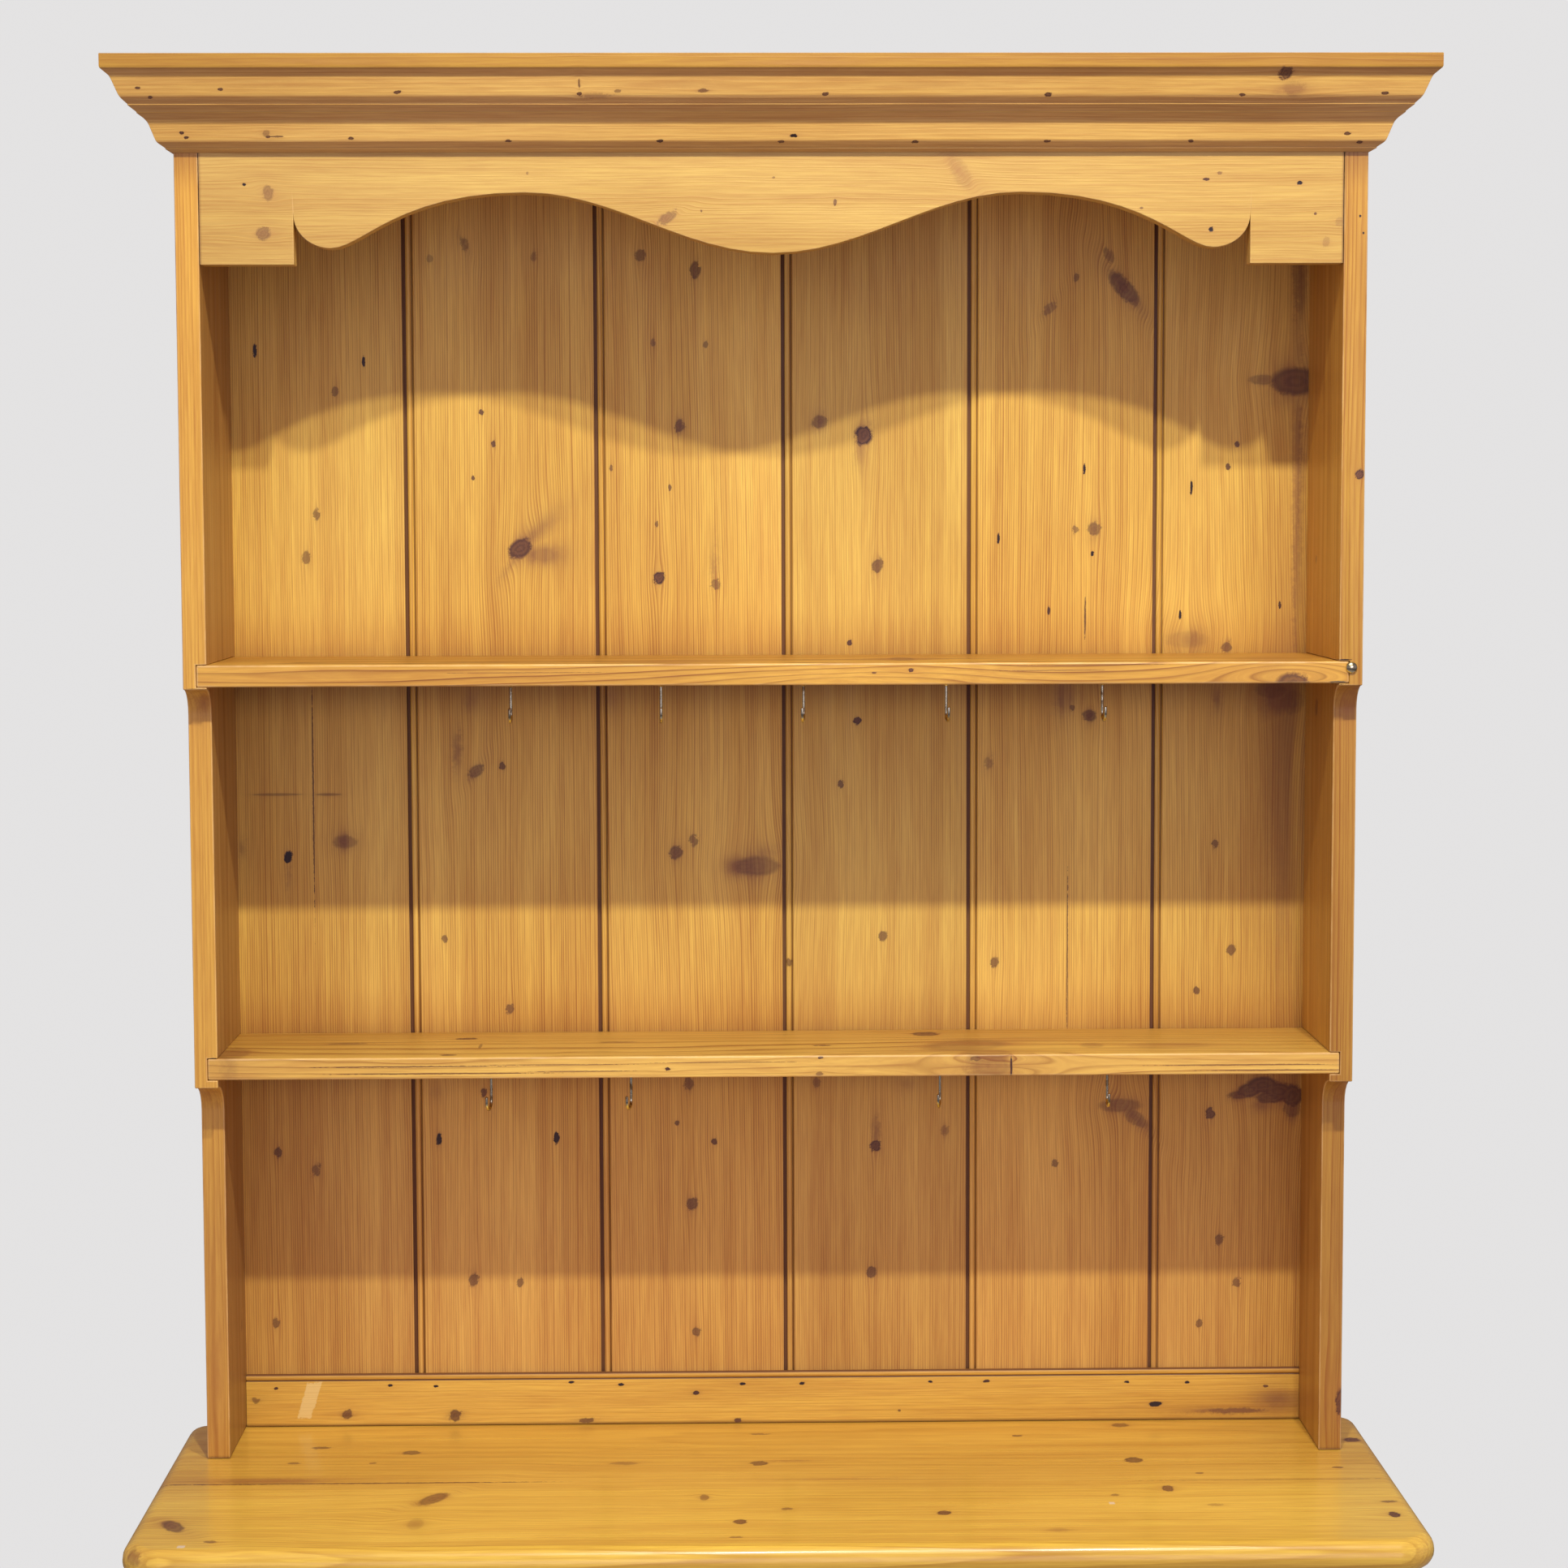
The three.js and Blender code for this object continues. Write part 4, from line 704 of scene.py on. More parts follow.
shelfMarks = {
    "upper": {
        "front": [
            (1122, 826, 2.6, 3, 0.85, 0.6), (1592, 844, 15, 21, 0.72, 0.5, 3.4),
            (1040, 848, 12, 46, 0.0, 0.1, 1.8), (420, 832, 8, 50, 0.0, 0.1, 0.8),
            # The long dark line at (1650, 840.2) is painted shadow in the gap under the shelf's end
            (1077, 829, 1.4, 3, 0.7, 0.4), (1650, 840.2, 1.3, 13, 1.15, 0.0, 0.0),
            (1300, 826, 0.6, 70, 0.5, 0.2, 0.0), (1350, 819, 0.6, 90, 0.45, 0.2, 0.0),
            (640, 829, 0.6, 90, 0.4, 0.2, 0.0),
        ],
        "top": [
            (1111, 812, 2, 16, 0.45, 1.2), (860, 815, 2, 60, 0.1, 0.8, 0.4),
            (1560, 812, 3, 40, 0.1, 0.9, 0.4),
        ],
    },
    "lower": {
        "front": [
            (823, 1317, 2, 3.5, 0.9, 0.5), (1011, 1303, 1.6, 3, 0.9), (1010, 1323, 2.5, 4, 0.5, 0.6),
            (1223, 1314, 13, 22, 0.24, 0.5, 3.0), (1246, 1314, 13, 1.4, 0.9, 0.3, 0.4),
            (1203, 1304, 3, 7, 0.6, 0.8), (560, 1306, 8, 90, 0.0, 0.0, 0.9),
            (500, 1314.5, 0.8, 110, 0.7, 0.2, 0.0), (690, 1312, 0.7, 80, 0.55, 0.2, 0.0),
            (540, 1323, 0.8, 130, 0.7, 0.2, 0.0), (720, 1320, 0.7, 60, 0.6, 0.2, 0.0),
            (1530, 1312, 0.8, 110, 0.6, 0.2, 0.0), (1570, 1318.5, 0.8, 80, 0.6, 0.2, 0.0),
            (900, 1309, 0.6, 90, 0.5, 0.2, 0.0),
        ],
        "top": [
            (1140, 1274, 2.4, 17, 0.75, 0.9, 0.6), (1190, 1288, 7, 52, 0.25, 1.8, 0.4, -0.25),
            (1215, 1297, 4, 30, 0.2, 1.6, 0.3), (575, 1280, 1.1, 14, 0.8, 0.4, 0.2),
            (592, 1289, 3, 2, 0.5, 0.3, 0.3), (552, 1300, 0.9, 9, 0.8, 0.2, 0.2),
            (1014, 1288, 0.9, 12, 0.7, 0.3, 0.2), (288, 1298, 7, 20, 0.25, 1.4, 0.2),
            (1345, 1288, 3, 14, 0.2, 0.9, 0.3), (1440, 1288, 4, 50, 0.1, 1.0, 0.3),
            (430, 1286, 0.9, 24, 0.5, 0.5, 0.2), (760, 1284, 0.9, 22, 0.4, 0.5, 0.2),
        ],
    },
}
railMarks = [
    (340, 1711, 1.6, 2.5, 0.9), (481, 1707, 1.6, 3, 1.0), (537, 1708, 1.6, 3, 1.0),
    (704, 1703, 1.6, 3, 1.0), (765, 1706, 1.6, 4, 1.0), (858, 1716, 2.4, 3.5, 0.9, 0.8),
    (915, 1705, 1.8, 3.5, 1.0), (989, 1704, 1.8, 3, 1.0), (1147, 1702, 1.6, 3, 1.0),
    (1215, 1702, 1.8, 3.5, 0.9), (1108, 1738, 1.4, 2, 0.7), (1388, 1703, 1.6, 3.5, 1.0),
    (1463, 1703, 1.6, 3, 1.0), (1559, 1708, 1.8, 3, 0.8), (428, 1743, 5, 6, 0.62, 1.0),
    (561, 1744, 7, 7, 0.68, 1.1, 1.5), (723, 1750, 3, 9, 0.6, 1.2), (909, 1750, 2.5, 5, 0.8, 0.8),
    (1423, 1730, 3.4, 7, 1.0, 0.7), (1520, 1738, 4, 34, 0.2, 1.6), (1575, 1722, 26, 26, 0.0, 1.0, 0.2),
    (315, 1725, 4, 5, 0.45, 0.9),
]
worktopMarks = [
    (396, 1784, 1.5, 11, 0.75, 0.7, 0.6), (507, 1790, 2.4, 11, 0.75, 0.8, 0.7),
    (363, 1803, 1.2, 8, 0.6, 0.5, 0.4), (459, 1803, 1.0, 4, 0.6, 0.3, 0.3),
    (328, 1825, 4, 60, 0.12, 1.2, 0.3), (534, 1847, 6, 17, 0.60, 1.2, 1.0, -0.9),
    (512, 1878, 7, 10, 0.15, 0.6, 1.2), (213, 1881, 6, 15, 0.6, 1.2, 0.8, 0.9),
    (259, 1900, 1.4, 9, 0.6, 0.5, 0.3), (770, 1803, 2, 16, 0.35, 1.0, 0.5),
    (935, 1803, 2.6, 11, 0.75, 0.9, 0.7), (972, 1800, 1.6, 28, 0.05, 1.1, 0.2),
    (868, 1845, 3.6, 5.4, 0.52, 0.9, 1.3), (970, 1859, 1.6, 7, 0.5, 0.5),
    (912, 1875, 2.8, 8, 0.8, 0.8, 0.8), (907, 1894, 1.2, 8, 0.5, 0.5, 0.3),
    (935, 1767, 1.0, 12, 0.6, 0.5, 0.3), (1163, 1864, 2.6, 8, 0.85, 0.8, 0.8),
    (1397, 1799, 3.2, 11, 0.85, 1.1, 0.9), (1385, 1800, 1.6, 30, 0.0, 1.0, 0.2),
    (1439, 1834, 4, 7, 0.75, 1.0, 1.3), (1380, 1756, 2.4, 10, 0.6, 0.9, 0.8),
    (1253, 1769, 1.0, 7, 0.8, 0.5, 0.3), (1478, 1815, 1.0, 5, 0.6, 0.4, 0.3),
    (1648, 1808, 1.2, 7, 0.6, 0.5, 0.4), (1666, 1774, 2.6, 10, 0.75, 1.0, 0.8),
    (1718, 1866, 3.6, 7, 0.8, 1.0, 1.2), (1711, 1850, 1.3, 9, 0.5, 0.7, 0.4),
    (1305, 1885, 3, 12, 0.1, 0.6, 0.6), (1374, 1842, 1.3, 5, 0.5, 0.5),
    (1498, 1854, 1.6, 10, 0.25, 0.7, 0.4), (420, 1828, 0.7, 230, 0.8, 0.3, 0.0),
    (1560, 1823, 0.5, 150, 0.45, 0.2, 0.0), (1050, 1822, 1.6, 60, 0.0, 0.8, 0.2),
]
worktopEdgeMarks = [(164, 1922, 9, 9, 0.25, 1.6, 0.6), (300, 1928, 2, 30, 0.0, 0.5, 0.4)]
sideMarks = {
    "left": {
        "middle": [
            (251, 862, 14, 17, 0.0, 1.1, 0.0), (261, 1463, 4.5, 6, 0.95, 1.0, 1.6),
            # The mark at (262, 1305) is painted shadow in the gap at the lower shelf's end
            (262, 1305, 5, 1.2, 1.1, 0.0, 0.0),
        ],
        "lower": [(268, 1690, 9, 40, 0.0, 0.3, 1.6), (261, 1345, 14, 14, 0.0, 0.7, 0.0)],
    },
    "right": {
        "upper": [
            # The mark at (1657, 812.8) is painted shadow in the gap at the top of the upper shelf's end
            (1675, 585, 5, 6, 0.85, 1.0), (1657, 812.8, 8, 0.8, 1.1, 0.0, 0.0),
            (1676, 266, 1.4, 1.6, 1.0, 0.2), (1680, 287, 1.4, 1.6, 1.0, 0.2),
            (1690, 700, 13, 60, 0.0, 0.2, 1.4),
        ],
        "middle": [(1662, 862, 16, 17, 0.0, 1.4, 0.0)],
        "lower": [
            (1650, 1345, 14, 16, 0.0, 0.9, 0.0), (1652, 1728, 7, 17, 0.80, 1.2, 1.8),
            (1636, 1710, 9, 30, 0.0, 0.3, 1.6),
        ],
    },
}
residue = {
    "colour": (0.93, 0.73, 0.27, 1), "share": 0.78, "place": (381, 1726), "half": (22, 9), "lean": -0.3,
}
chips = {
    "colour": (0.90, 0.80, 0.58, 1), "share": 0.7, "half": (1.4, 4), "lean": 0.0,
    "places": [(223, 1906), (1370, 1852)],
}

# What the photograph shows on each board: the plane that carries the marks, then the marks
seenMarks = {
    "frieze": [((1, friezeFront), friezeMarks)],
    "cornice_front": [
        ((1, cornicePlanes["crown"]), crownMarks), ((1, cornicePlanes["swell"]), swellMarks),
        ((1, cornicePlanes["foot"]), footMarks),
    ],
    "back_bottom_rail": [((1, railFront), railMarks)],
    "worktop": [((2, worktopTop), worktopMarks), ((1, worktopFront), worktopEdgeMarks)],
}
for index in range(1, 7):
    seenMarks[f"back_board_{index}"] = [((1, backFront), backMarks)]
for shelf, faces in shelfMarks.items():
    planes = {"front": (1, shelfFronts[shelf]), "top": (2, shelfTops[shelf])}
    seenMarks[f"{shelf}_shelf"] = [(planes[face], marks) for face, marks in faces.items()]
for side, steps in sideMarks.items():
    seenMarks[f"rack_side_{side}"] = [((1, sideFronts[step]), marks) for step, marks in steps.items()]


def boardMarks(node, grain):
    # The marks that lie on one board, as its material wants them
    low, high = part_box(node)
    along = grainAxes[grain][2]
    found = []
    for plane, marks in seenMarks.get(node, ()):
        for mark in marks:
            made = seenMark(grain, plane, *mark)
            wide, sizes = made["axis"], made["sizes"]
            margin, reach = 2 * sizes["HalfWidth"], sizes["HalfLength"]
            onAcross = low[wide] - margin < sizes["CentreAcross"] < high[wide] + margin
            onAlong = low[along] - reach < sizes["CentreAlong"] < high[along] + reach
            if onAcross and onAlong:
                found.append(made)
    return found


def seenPatch(grain, plane, look, place):
    across, _, along = grainAxes[grain]
    point = seenOn(*place, *plane)
    corner = seenOn(place[0] + look["half"][1], place[1] + look["half"][0], *plane)
    half = (abs(corner[across] - point[across]), abs(corner[along] - point[along]))
    return dict(look, axis=across, along=along, centre=(point[across], point[along]), half=half)


def shelfFades(shelf):
    # The top is darker than the front edge, and darker and browner towards the back
    front = shelfFronts[shelf]
    return [
        (1, front + 0.001, front + 0.004, (0.78, 0.77, 0.74, 1)),
        (1, front + 0.03, front + 0.13, (0.88, 0.82, 0.80, 1)),
    ]


# Painted shade: the crown face of the cornice, above 1.994 m, is darkened
crownPaintedShade = [(2, 1.990, 1.994, (0.57, 0.49, 0.22, 1))]
sideFades = [(2, 1.22, 0.95, (0.80, 0.76, 0.84, 1))]
skin = (0.0008, 0.0002)  # how deep a tone starts and is whole under a face, in metres
leftFades = sideFades + [(0, *(-insideX - depth for depth in skin), (0.52, 0.50, 0.80, 1))]
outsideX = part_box("rack_side_right")[1].x
rightFades = sideFades + [(0, *(outsideX - depth for depth in skin), (1.28, 1.36, 1.36, 1))]
# Painted shade on the sides: a dark band where each side stands on the worktop, and a darker band under the
# cornice
sidePaintedShade = [
    (2, worktopTop, 0.0035, (0.34, 0.26, 0.24, 1)),
    (2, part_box("cornice_front")[0].z, 0.035, (0.72, 0.66, 0.74, 1)),
]
# Painted shade at the frieze's ends, in the joints with the sides
friezePaintedShade = [(0, end, 0.0025, (0.50, 0.40, 0.36, 1)) for end in (-insideX, insideX)]
# Painted light: the tops of the back boards, in the shade under the frieze, are painted lighter; lower down
# the boards turn darker towards the bottom
backPaintedLightAndFade = [(2, 1.80, 1.88, (1.06, 1.10, 1.35, 1)), (2, 1.36, 0.86, (0.84, 0.73, 0.84, 1))]
# Painted shade on the back boards: darker above each shelf and in a band just under it
backPaintedShade = [(2, shelfTops[shelf], 0.05, (0.84, 0.76, 0.74, 1)) for shelf in shelfTops]
backPaintedShade += [(2, shelfTops[shelf] - 0.022, 0.04, (0.66, 0.62, 0.62, 1)) for shelf in shelfTops]
# Boards: how each lies, how far its edges are eased in mm, and what sets its wood apart
boardLooks = {
    "rack_side_left": {"pith": (0.10, -0.72), "sharp": 2.4, "lateShare": 0.8, "fades": leftFades},
    "rack_side_right": {
        "pith": (0.12, 0.66), "sharp": 3.4, "lateShare": 1.3, "fades": rightFades,
        "early": (0.56, 0.300, 0.044, 1), "late": (0.40, 0.160, 0.020, 1),
    },
    "rack_top_board": {"grain": "longFlat", "ease": 1.0, "scatter": 8},
    "frieze": {
        "grain": "longFront", "ease": 0.8, "pitch": 0.0030, "pith": (1.50, -0.10), "wander": 0.010,
        "sharp": 2.6, "wear": 0.2, "early": (0.62, 0.405, 0.098, 1), "creases": friezePaintedShade,
    },
    "upper_shelf": {
        "pith": (0.06, 1.38), "pitch": 0.0040, "wander": 0.024, "lateShare": 1.9,
        "late": (0.34, 0.135, 0.020, 1),
    },
    "lower_shelf": {
        "pith": (0.04, 0.98), "pitch": 0.0046, "wander": 0.02, "lateShare": 1.8,
        "early": (0.86, 0.54, 0.104, 1), "late": (0.42, 0.18, 0.028, 1),
    },
    "back_board_1": {"pith": (-0.9, 0.25), "tint": 0.95},
    "back_board_2": {"pith": (-0.75, 0.3)},
    "back_board_3": {"pith": (0.55, 0.32), "lean": 0.01},
    "back_board_4": {"pith": (0.62, 0.2), "tint": 0.87},
    "back_board_5": {"pith": (-0.3, 0.24)},
    "back_board_6": {"pith": (0.9, 0.22), "tint": 0.95},
    "back_bottom_rail": {
        "grain": "longFront", "ease": 0.4, "pith": (1.2, 0.1), "wear": 0, "lateShare": 0.4,
        "early": (0.79, 0.485, 0.074, 1), "late": (0.54, 0.255, 0.034, 1),
        # Painted shade on the rail: its quirk under the bead, its foot on the worktop and a band along its
        # top are darkened
        "grime": (1, railFront + 0.0004, railFront + 0.0010),
        "creases": [
            (2, worktopTop, 0.004, (0.25, 0.18, 0.15, 1)), (2, railTop, 0.006, (0.82, 0.74, 0.72, 1)),
        ],
    },
    "cornice_front": {
        "grain": "longFront", "ease": 0.35, "pith": (1.86, 0.03), "pitch": 0.0034, "wander": 0.02,
    },
    "cornice_left": {"grain": "deepSide", "ease": 0.35},
    "cornice_right": {"grain": "deepSide", "ease": 0.35},
    "worktop": {
        "grain": "longFlat", "ease": 0, "pitch": 0.0045, "pith": (0.12, 0.66), "lean": 0.02, "wear": 0,
        "wander": 0.02,
        "early": (0.89, 0.59, 0.082, 1), "late": (0.64, 0.36, 0.042, 1), "lateShare": 0.66,
        "roughness": 0.30, "polish": 0.5,
        "fades": [(1, -0.06, 0.02, (0.88, 0.82, 0.84, 1))],
    },
    "base_side_left": {"grain": "upSide", "ease": 1.0, "scatter": 9},
    "base_side_right": {"grain": "upSide", "ease": 1.0, "scatter": 9},
    "base_bottom_board": {"grain": "longFlat", "ease": 0.8, "scatter": 6},
    "base_shelf": {"grain": "longFlat", "ease": 0.8, "scatter": 6},
    "base_back_panel": {"grain": "longFront", "ease": 0.6, "scatter": 8},
    "stile_left": {"grain": "upFront", "ease": 1.0, "scatter": 3},
    "stile_right": {"grain": "upFront", "ease": 1.0, "scatter": 3},
    "top_rail": {"grain": "longFront", "ease": 1.0, "scatter": 3},
    "bottom_rail": {"grain": "longFront", "ease": 1.0, "scatter": 5},
    "drawer_deck": {"grain": "longFlat", "ease": 0.8, "scatter": 6},
    "drawer_divider": {"grain": "upSide", "ease": 0.8, "scatter": 3},
}
sideLook = {
    "grain": "upSide", "ease": 1.0, "scatter": 4, "wander": 0.006, "wear": 0.4, "creases": sidePaintedShade,
}
for side in ("left", "right"):
    boardLooks[f"rack_side_{side}"].update(sideLook)
for shelf in shelfTops:
    boardLooks[f"{shelf}_shelf"].update(
        grain="longFlat", ease=1.6, sharp=5.0, wear=0.4, fades=shelfFades(shelf),
    )
backLook = {
    "grain": "upFront", "ease": 0.4, "pitch": 0.0021, "uneven": 1.6, "wander": 0.004, "sharp": 1.2,
    # The walls of the grooves between the back boards are darkened, partly as dirt and partly as painted
    # shade
    "grime": (1, backFront + 0.0009, backFront + 0.0034), "fades": backPaintedLightAndFade, "creases": backPaintedShade,
    "frontTo": backFront + 0.006,
}
for index in range(1, 7):
    boardLooks[f"back_board_{index}"].update(backLook)
# Painted shade on the cornice: faces that look downwards are darkened, and so is the crown face
for node in ("cornice_front", "cornice_left", "cornice_right"):
    boardLooks[node].update(
        underside=(0.80, 0.76, 0.96, 1), tint=1.20, wear=0.25, sharpEdges=24, fades=crownPaintedShade,
    )
for side in ("left", "right"):
    boardLooks[f"drawer_{side}_front"] = {"grain": "longFront", "ease": 1.4, "scatter": 5}
    boardLooks[f"drawer_{side}_box"] = {"grain": "deepSide", "ease": 0.6, "scatter": 5}
    boardLooks[f"drawer_{side}_bottom"] = {"grain": "longFlat", "ease": 0.4, "scatter": 4}
    boardLooks[f"door_{side}_frame"] = {"grain": "upFront", "ease": 1.2, "scatter": 6}
    boardLooks[f"door_{side}_panel"] = {"grain": "upFront", "ease": 0.5, "scatter": 6}
boardPatches = {
    "back_bottom_rail": [seenPatch("longFront", (1, railFront), residue, residue["place"])],
    "worktop": [seenPatch("longFlat", (2, worktopTop), chips, place) for place in chips["places"]],
}


def plainName(node):
    words = node.split("_")
    return words[0] + "".join(word.capitalize() for word in words[1:])


edgeForm = {
    "merge": 0.00001,
    "flat": 1,  # degrees, as are the next two
    "easedFrom": 38,
    "sharpFrom": 48,
    "smallRim": 0.0013,
    "rimMargin": 2.2,
    "segments": 3,
}


def mergedCopy(node):
    form = bmesh.new()
    form.from_mesh(frame["nodes"][node].data)
    bmesh.ops.remove_doubles(form, verts=form.verts, dist=edgeForm["merge"])
    flat = math.radians(edgeForm["flat"])
    bmesh.ops.dissolve_limit(form, angle_limit=flat, verts=form.verts, edges=form.edges)
    return form


def distanceTo(edge, point):
    start, end = (vert.co for vert in edge.verts)
    nearest, share = intersect_point_line(point, start, end)
    return (nearest - point).length if 0 < share < 1 else min((start - point).length, (end - point).length)


def easeEdges(form, width):
    # The rims of small holes keep their edges, and so do the edges close beside them
    sharp = math.radians(edgeForm["easedFrom"])
    margin = edgeForm["rimMargin"] * width
    edges = [edge for edge in form.edges if edge.is_manifold and edge.is_convex]
    edges = [edge for edge in edges if edge.calc_face_angle() > sharp]
    rims = [edge.verts[0].co.copy() for edge in edges if edge.calc_length() < edgeForm["smallRim"]]
    edges = [edge for edge in edges if edge.calc_length() > edgeForm["smallRim"]]
    edges = [edge for edge in edges if all(distanceTo(edge, rim) > margin for rim in rims)]
    eased = bmesh.ops.bevel(
        form, geom=edges, offset=width, offset_type="OFFSET", affect="EDGES",
        segments=edgeForm["segments"], profile=0.5, material=-1, clamp_overlap=False,
    )["faces"]
    arris = form.loops.layers.float.new("arris")
    for face in eased:
        for loop in face.loops:
            loop[arris] = 1.0


def finishPiece(form, node, material, sharp=edgeForm["sharpFrom"]):
    # The finished form as a piece that stands for its node and rides with its body
    name = plainName(node)
    mesh = bpy.data.meshes.new(name)
    form.to_mesh(mesh)
    form.free()
    mesh.shade_smooth()
    mesh.set_sharp_from_angle(angle=math.radians(sharp))
    mesh.materials.append(material)
    piece = addObject(name, mesh)
    weighted = piece.modifiers.new("faceWeight", "WEIGHTED_NORMAL")
    weighted.keep_sharp = True
    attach(piece, bodyOf[node])
    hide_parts(node)


firstSeeds = {"boards": 11, "knobs": 70}


# What a board's look says beside its wood
besideWood = ("grain", "ease", "scatter", "sharpEdges")


def makeBoards():
    for seed, (node, look) in enumerate(boardLooks.items(), firstSeeds["boards"]):
        changes = {key: value for key, value in look.items() if key not in besideWood}
        grain = look["grain"]
        knots = boardMarks(node, grain) + scatteredKnots(node, grain, look.get("scatter", 0), seed)
        patches = boardPatches.get(node, ())
        material = makePine(plainName(node) + "Pine", slotOf[node], grain, seed, knots, patches, **changes)
        form = mergedCopy(node)
        if look["ease"]:
            easeEdges(form, look["ease"] / 1000)
        finishPiece(form, node, material, look.get("sharpEdges", edgeForm["sharpFrom"]))
    print("boards finished:", len(boardLooks))


# Turned and bent pieces
turnedForm = {"steps": 48, "merge": 0.000005}


def settleFaces(form):
    # Spinning leaves the faces in another order each time, so they are put in the order of their corners
    form.verts.index_update()
    count = len(form.verts)

    def rank(face):
        first, second, third = sorted(vert.index for vert in face.verts)[:3]
        return (first * count + second) * count + third

    form.faces.sort(key=rank)


def turned(profile, centre):
    # A profile of (radius, height) in metres spun about the -Y axis through a centre
    form = bmesh.new()
    verts = [form.verts.new((radius, -height, 0)) for radius, height in profile]
    edges = [form.edges.new(pair) for pair in zip(verts, verts[1:])]
    bmesh.ops.spin(
        form, geom=verts + edges, cent=(0, 0, 0), axis=(0, 1, 0), dvec=(0, 0, 0),
        angle=2 * math.pi, steps=turnedForm["steps"], use_merge=True,
    )
    bmesh.ops.remove_doubles(form, verts=form.verts, dist=turnedForm["merge"])
    bmesh.ops.recalc_face_normals(form, faces=form.faces)
    bmesh.ops.translate(form, vec=centre, verts=form.verts)
    settleFaces(form)
    return form


def shankProfile(radius, length):
    return [(0, -length), (radius, -length), (radius, 0)]


knobLook = {
    "radius": 0.018,
    "reach": 0.028,
    "spigotRadius": 0.006,
    "spigotLength": 0.019,
    "pithShift": (0.004, 0.003),
    "pitch": 0.0024,
    "profileShares": [
        (0.72, 0), (0.735, 0.03), (0.745, 0.07), (0.72, 0.105), (0.62, 0.14), (0.53, 0.19), (0.475, 0.25),
        (0.462, 0.31), (0.49, 0.37), (0.58, 0.43), (0.71, 0.49), (0.84, 0.54), (0.93, 0.59), (0.98, 0.64),
        (0.995, 0.70), (0.98, 0.76), (0.93, 0.82), (0.85, 0.875), (0.74, 0.92), (0.58, 0.958), (0.4, 0.98),
        (0.2, 0.995), (0, 1),
    ],
}


def makeKnobs():
    nodes = [node for node in slotOf if node.endswith("_knob")]
    for seed, node in enumerate(nodes, firstSeeds["knobs"]):
        low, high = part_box(node)
        seat = high.y - knobLook["spigotLength"]
        centre = Vector(((low.x + high.x) / 2, seat, (low.z + high.z) / 2))
        back = shankProfile(knobLook["spigotRadius"], knobLook["spigotLength"])
        face = [(r * knobLook["radius"], h * knobLook["reach"]) for r, h in knobLook["profileShares"]]
        shiftZ, shiftX = knobLook["pithShift"]
        changes = {"pith": (centre.z + shiftZ, centre.x + shiftX), "pitch": knobLook["pitch"], "wear": 0}
        material = makePine(plainName(node) + "Pine", "pale_pine", "deepSide", seed, **changes)
        finishPiece(turned(back + face, centre), node, material)
    print("knobs turned")


hookLook = {
    "wireRadius": 0.0013,
    "bendRadius": 0.0075,
    "drop": 0.034,
    "tipLength": 0.005,
    "tipRound": 0.0012,
    "tipSteps": [(0.0007, 0.86), (0.0004, 0.5)],
    "shankLength": 0.01,
    "wireSides": 16,
    "bendSteps": 20,
    "collarSteps": 24,
    "merge": 0.000002,
    "collarProfile": [
        (0, -0.0003), (0.0042, -0.0003), (0.0043, -0.0007), (0.0040, -0.0012), (0.0031, -0.0017),
        (0.0019, -0.0021), (0.0013, -0.0030), (0, -0.0030),
    ],
    "upperTurns": (-1, 1, -6, 5, 5),
    "lowerTurns": (-12, -13, -9, 0),
    "upperPlaces": (-0.2258, -0.0969, 0.0256, 0.1483, 0.2828),
    "lowerPlaces": (-0.2478, -0.1256, 0.1448, 0.2917),
    "setback": 0.04,
}


def onlyOf(kind, items):
    return [item for item in items if isinstance(item, kind)]


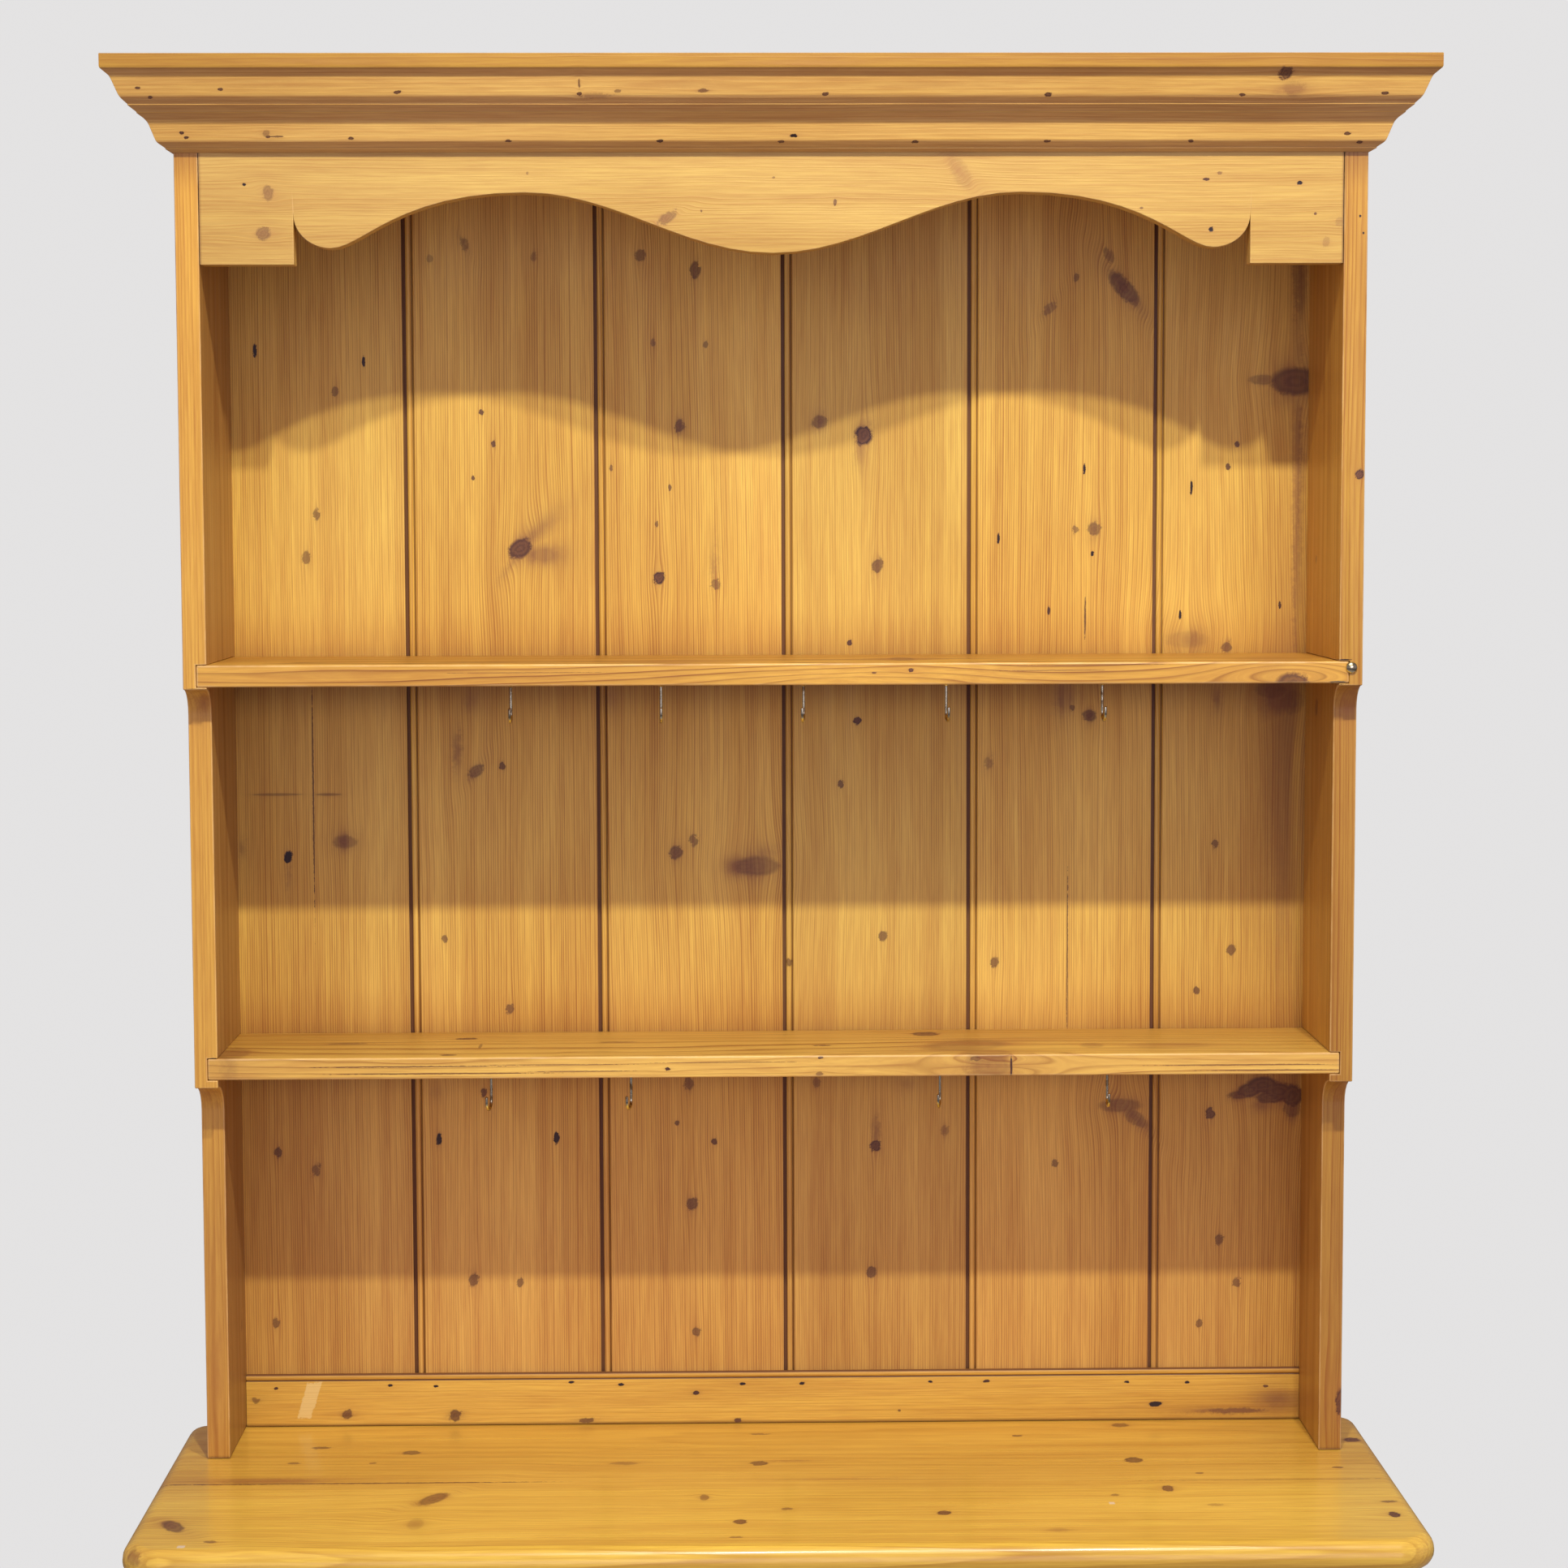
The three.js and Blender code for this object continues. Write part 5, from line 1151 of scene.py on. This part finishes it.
def bentWire():
    # A hook hanging from the origin, bent towards the front
    look = hookLook
    form = bmesh.new()
    ring = bmesh.ops.create_circle(
        form, cap_ends=True, segments=look["wireSides"], radius=look["wireRadius"],
    )["verts"]
    bmesh.ops.translate(form, vec=(0, 0, look["shankLength"]), verts=ring)
    bendTop = -look["drop"] + look["wireRadius"] + look["bendRadius"]

    edges = form.edges[:]
    made = bmesh.ops.extrude_edge_only(form, edges=edges)["geom"]
    verts = onlyOf(bmesh.types.BMVert, made)
    bmesh.ops.translate(form, vec=(0, 0, bendTop - look["shankLength"]), verts=verts)
    loop = onlyOf(bmesh.types.BMEdge, made)
    loop = [edge for edge in loop if all(abs(vert.co.z - bendTop) < look["merge"] for vert in edge.verts)]
    spun = bmesh.ops.spin(
        form, geom=loop, cent=(0, -look["bendRadius"], bendTop), axis=(-1, 0, 0), dvec=(0, 0, 0),
        angle=math.pi, steps=look["bendSteps"], use_merge=False,
    )["geom_last"]
    loop = onlyOf(bmesh.types.BMEdge, spun)
    for rise, scale in [(look["tipLength"] - look["tipRound"], 1)] + look["tipSteps"]:
        made = bmesh.ops.extrude_edge_only(form, edges=loop)["geom"]
        verts = onlyOf(bmesh.types.BMVert, made)
        loop = onlyOf(bmesh.types.BMEdge, made)
        loop = [edge for edge in loop if all(vert in verts for vert in edge.verts)]
        bmesh.ops.translate(form, vec=(0, 0, rise), verts=verts)
        middle = sum((vert.co for vert in verts), Vector()) / len(verts)
        bmesh.ops.scale(form, vec=(scale, scale, 1), space=Matrix.Translation(-middle), verts=verts)
    bmesh.ops.contextual_create(form, geom=loop)
    bmesh.ops.remove_doubles(form, verts=form.verts, dist=look["merge"])
    collar = [form.verts.new((radius, 0, height)) for radius, height in look["collarProfile"]]
    edges = [form.edges.new(pair) for pair in zip(collar, collar[1:])]
    bmesh.ops.spin(
        form, geom=collar + edges, cent=(0, 0, 0), axis=(0, 0, 1), dvec=(0, 0, 0),
        angle=2 * math.pi, steps=look["collarSteps"], use_merge=True,
    )
    bmesh.ops.remove_doubles(form, verts=form.verts, dist=look["merge"])
    bmesh.ops.recalc_face_normals(form, faces=form.faces)
    settleFaces(form)
    return form


def makeHooks():
    number = 0
    rows = (("upper_shelf", "upperPlaces", "upperTurns"), ("lower_shelf", "lowerPlaces", "lowerTurns"))
    for shelf, places, turns in rows:
        low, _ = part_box(shelf)
        for x, turn in zip(hookLook[places], hookLook[turns]):
            number += 1
            node = f"cup_hook_{number}"
            form = bentWire()
            matrix = Matrix.Rotation(math.radians(turn), 3, "Z")
            bmesh.ops.rotate(form, cent=(0, 0, 0), matrix=matrix, verts=form.verts)
            bmesh.ops.translate(form, vec=(x, low.y + hookLook["setback"], low.z), verts=form.verts)
            finishPiece(form, node, hookChrome)
    print("cup hooks bent:", number)


pinLook = {
    "shankRadius": 0.0009, "shankLength": 0.0087, "headRadius": 0.005, "headHeight": 0.003, "steps": 10,
}


def makePin():
    node = "dome_head_pin"
    low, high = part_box(node)
    seat = high.y - pinLook["shankLength"]
    centre = Vector(((low.x + high.x) / 2, seat, (low.z + high.z) / 2))
    angles = [math.pi / 2 * step / pinLook["steps"] for step in range(pinLook["steps"])]
    dome = [
        (pinLook["headRadius"] * math.cos(turn), pinLook["headHeight"] * math.sin(turn))
        for turn in angles
    ]
    shank = shankProfile(pinLook["shankRadius"], pinLook["shankLength"])
    profile = shank + dome + [(0, pinLook["headHeight"])]
    finishPiece(turned(profile, centre), node, pinChrome)


def makeHinges():
    for node in (node for node in slotOf if node.startswith("hinge_")):
        finishPiece(mergedCopy(node), node, hingeBrass)
    print("hinges and pin finished")


# Stage
lampLook = {
    "places": ((0.55, -1.404, 3.29), (0.0, -1.404, 3.29)),
    "aim": (0.1, 0.1, 1.4),
    "size": 0.07,
    "watts": 25,
    "colour": (1.0, 0.94, 0.84),
    "sky": (1.04, 0.88, 1.18, 1),
    "horizon": (-0.45, 0.05),
    "overhead": (0.25, 0.6),
    "skyFromBelow": 0.26,
    "skyAhead": 0.84,
    "skyFromAbove": 0.50,
    "mirroredSky": 0.26,
    "mirroredWall": 0.12,
    "wallFrom": (-0.2, 0.3),
    "window": (0.10, -0.98, 0.17),
    "windowEdge": (0.955, 0.985),
    "windowStrength": 2.6,
    "backdrop": (0.775, 0.765, 0.765, 1),
}
floorLook = {
    "radius": 2.1,
    "sides": 96,
    "fadeFrom": 1.1,
    "dark": (0.75, 0.79, 0.69, 1),
    "light": (0.81, 0.85, 0.75, 1),
    "bounce": (0.30, 0.29, 0.28, 1),
    "speckScale": 3,
    "roughness": 0.8,
    "glow": 0.2,
}


def makeStage():
    for index, place in enumerate(lampLook["places"]):
        data = bpy.data.lights.new(f"lamp{index + 1}", "AREA")
        data.shape = "DISK"
        data.size = lampLook["size"]
        data.energy = lampLook["watts"]
        data.color = lampLook["colour"]
        lamp = addObject(f"lamp{index + 1}", data)
        lamp.location = place
        lamp.rotation_euler = (Vector(lampLook["aim"]) - Vector(place)).to_track_quat("-Z", "Y").to_euler()
    world = bpy.data.worlds.new("room")
    bpy.context.scene.world = world
    world.use_nodes = True
    tree = world.node_tree
    tree.nodes.clear()
    paths = put(tree, "LightPath").outputs
    direction = put(tree, "TexCoord").outputs["Object"]
    toward = put(tree, "SeparateXYZ", {0: direction}).outputs
    strength = ramp(tree, toward[2], *lampLook["horizon"], lampLook["skyFromBelow"], lampLook["skyAhead"])
    strength = ramp(tree, toward[2], *lampLook["overhead"], strength, lampLook["skyFromAbove"])
    mirrored = ramp(
        tree, toward[1], *lampLook["wallFrom"], lampLook["mirroredSky"], lampLook["mirroredWall"],
    )
    mirrored = timesPlus(tree, paths["Is Glossy Ray"], minus(tree, mirrored, 1.0), 1.0)
    feeds = {0: direction, 1: lampLook["window"]}
    facing = put(tree, "VectorMath", feeds, operation="DOT_PRODUCT").outputs["Value"]
    window = ramp(tree, facing, *lampLook["windowEdge"], 0.0, lampLook["windowStrength"])
    strength = times(tree, strength, mirrored)
    strength = timesPlus(tree, window, paths["Is Glossy Ray"], strength)
    light = put(tree, "Background", {"Color": lampLook["sky"], "Strength": strength}).outputs[0]
    plain = put(tree, "Background", {"Color": lampLook["backdrop"], "Strength": 1.0}).outputs[0]
    mixed = put(tree, "MixShader", {0: paths["Is Camera Ray"], 1: light, 2: plain}).outputs[0]
    tree.links.new(mixed, put(tree, "OutputWorld").inputs[0])

    form = bmesh.new()
    bmesh.ops.create_circle(form, cap_ends=True, segments=floorLook["sides"], radius=floorLook["radius"])
    mesh = bpy.data.meshes.new("floor")
    form.to_mesh(mesh)
    form.free()
    floor = addObject("floor", mesh)
    material = bpy.data.materials.new("paleFloor")
    material.use_nodes = True
    tree = material.node_tree
    shader = tree.nodes["Principled BSDF"]
    place = put(tree, "TexCoord").outputs["Object"]
    specks = cloud(tree, place, scale=floorLook["speckScale"], detail=3)
    looked = put(tree, "LightPath").outputs["Is Camera Ray"]
    pale = blendColour(tree, specks, floorLook["dark"], floorLook["light"])
    tree.links.new(blendColour(tree, looked, floorLook["bounce"], pale), shader.inputs["Base Color"])
    shader.inputs["Roughness"].default_value = floorLook["roughness"]
    away = put(tree, "VectorMath", {0: place}, operation="LENGTH").outputs["Value"]
    glow = times(tree, looked, floorLook["glow"])
    glow = put(tree, "Emission", {"Color": lampLook["backdrop"], "Strength": glow}).outputs[0]
    near = put(tree, "AddShader", {0: shader.outputs[0], 1: glow}).outputs[0]
    far = put(tree, "Emission", {"Color": lampLook["backdrop"], "Strength": 1.0}).outputs[0]
    fade = times(tree, ramp(tree, away, floorLook["fadeFrom"], floorLook["radius"]), looked)
    mixed = put(tree, "MixShader", {0: fade, 1: near, 2: far}).outputs[0]
    tree.links.new(mixed, tree.nodes["Material Output"].inputs[0])
    mesh.materials.append(material)


bpy.context.scene.view_settings.view_transform = "Standard"
makeCamera()
makeStage()
print("camera, lamps and floor set")
makeBoards()
makeKnobs()
makeHooks()
makePin()
makeHinges()
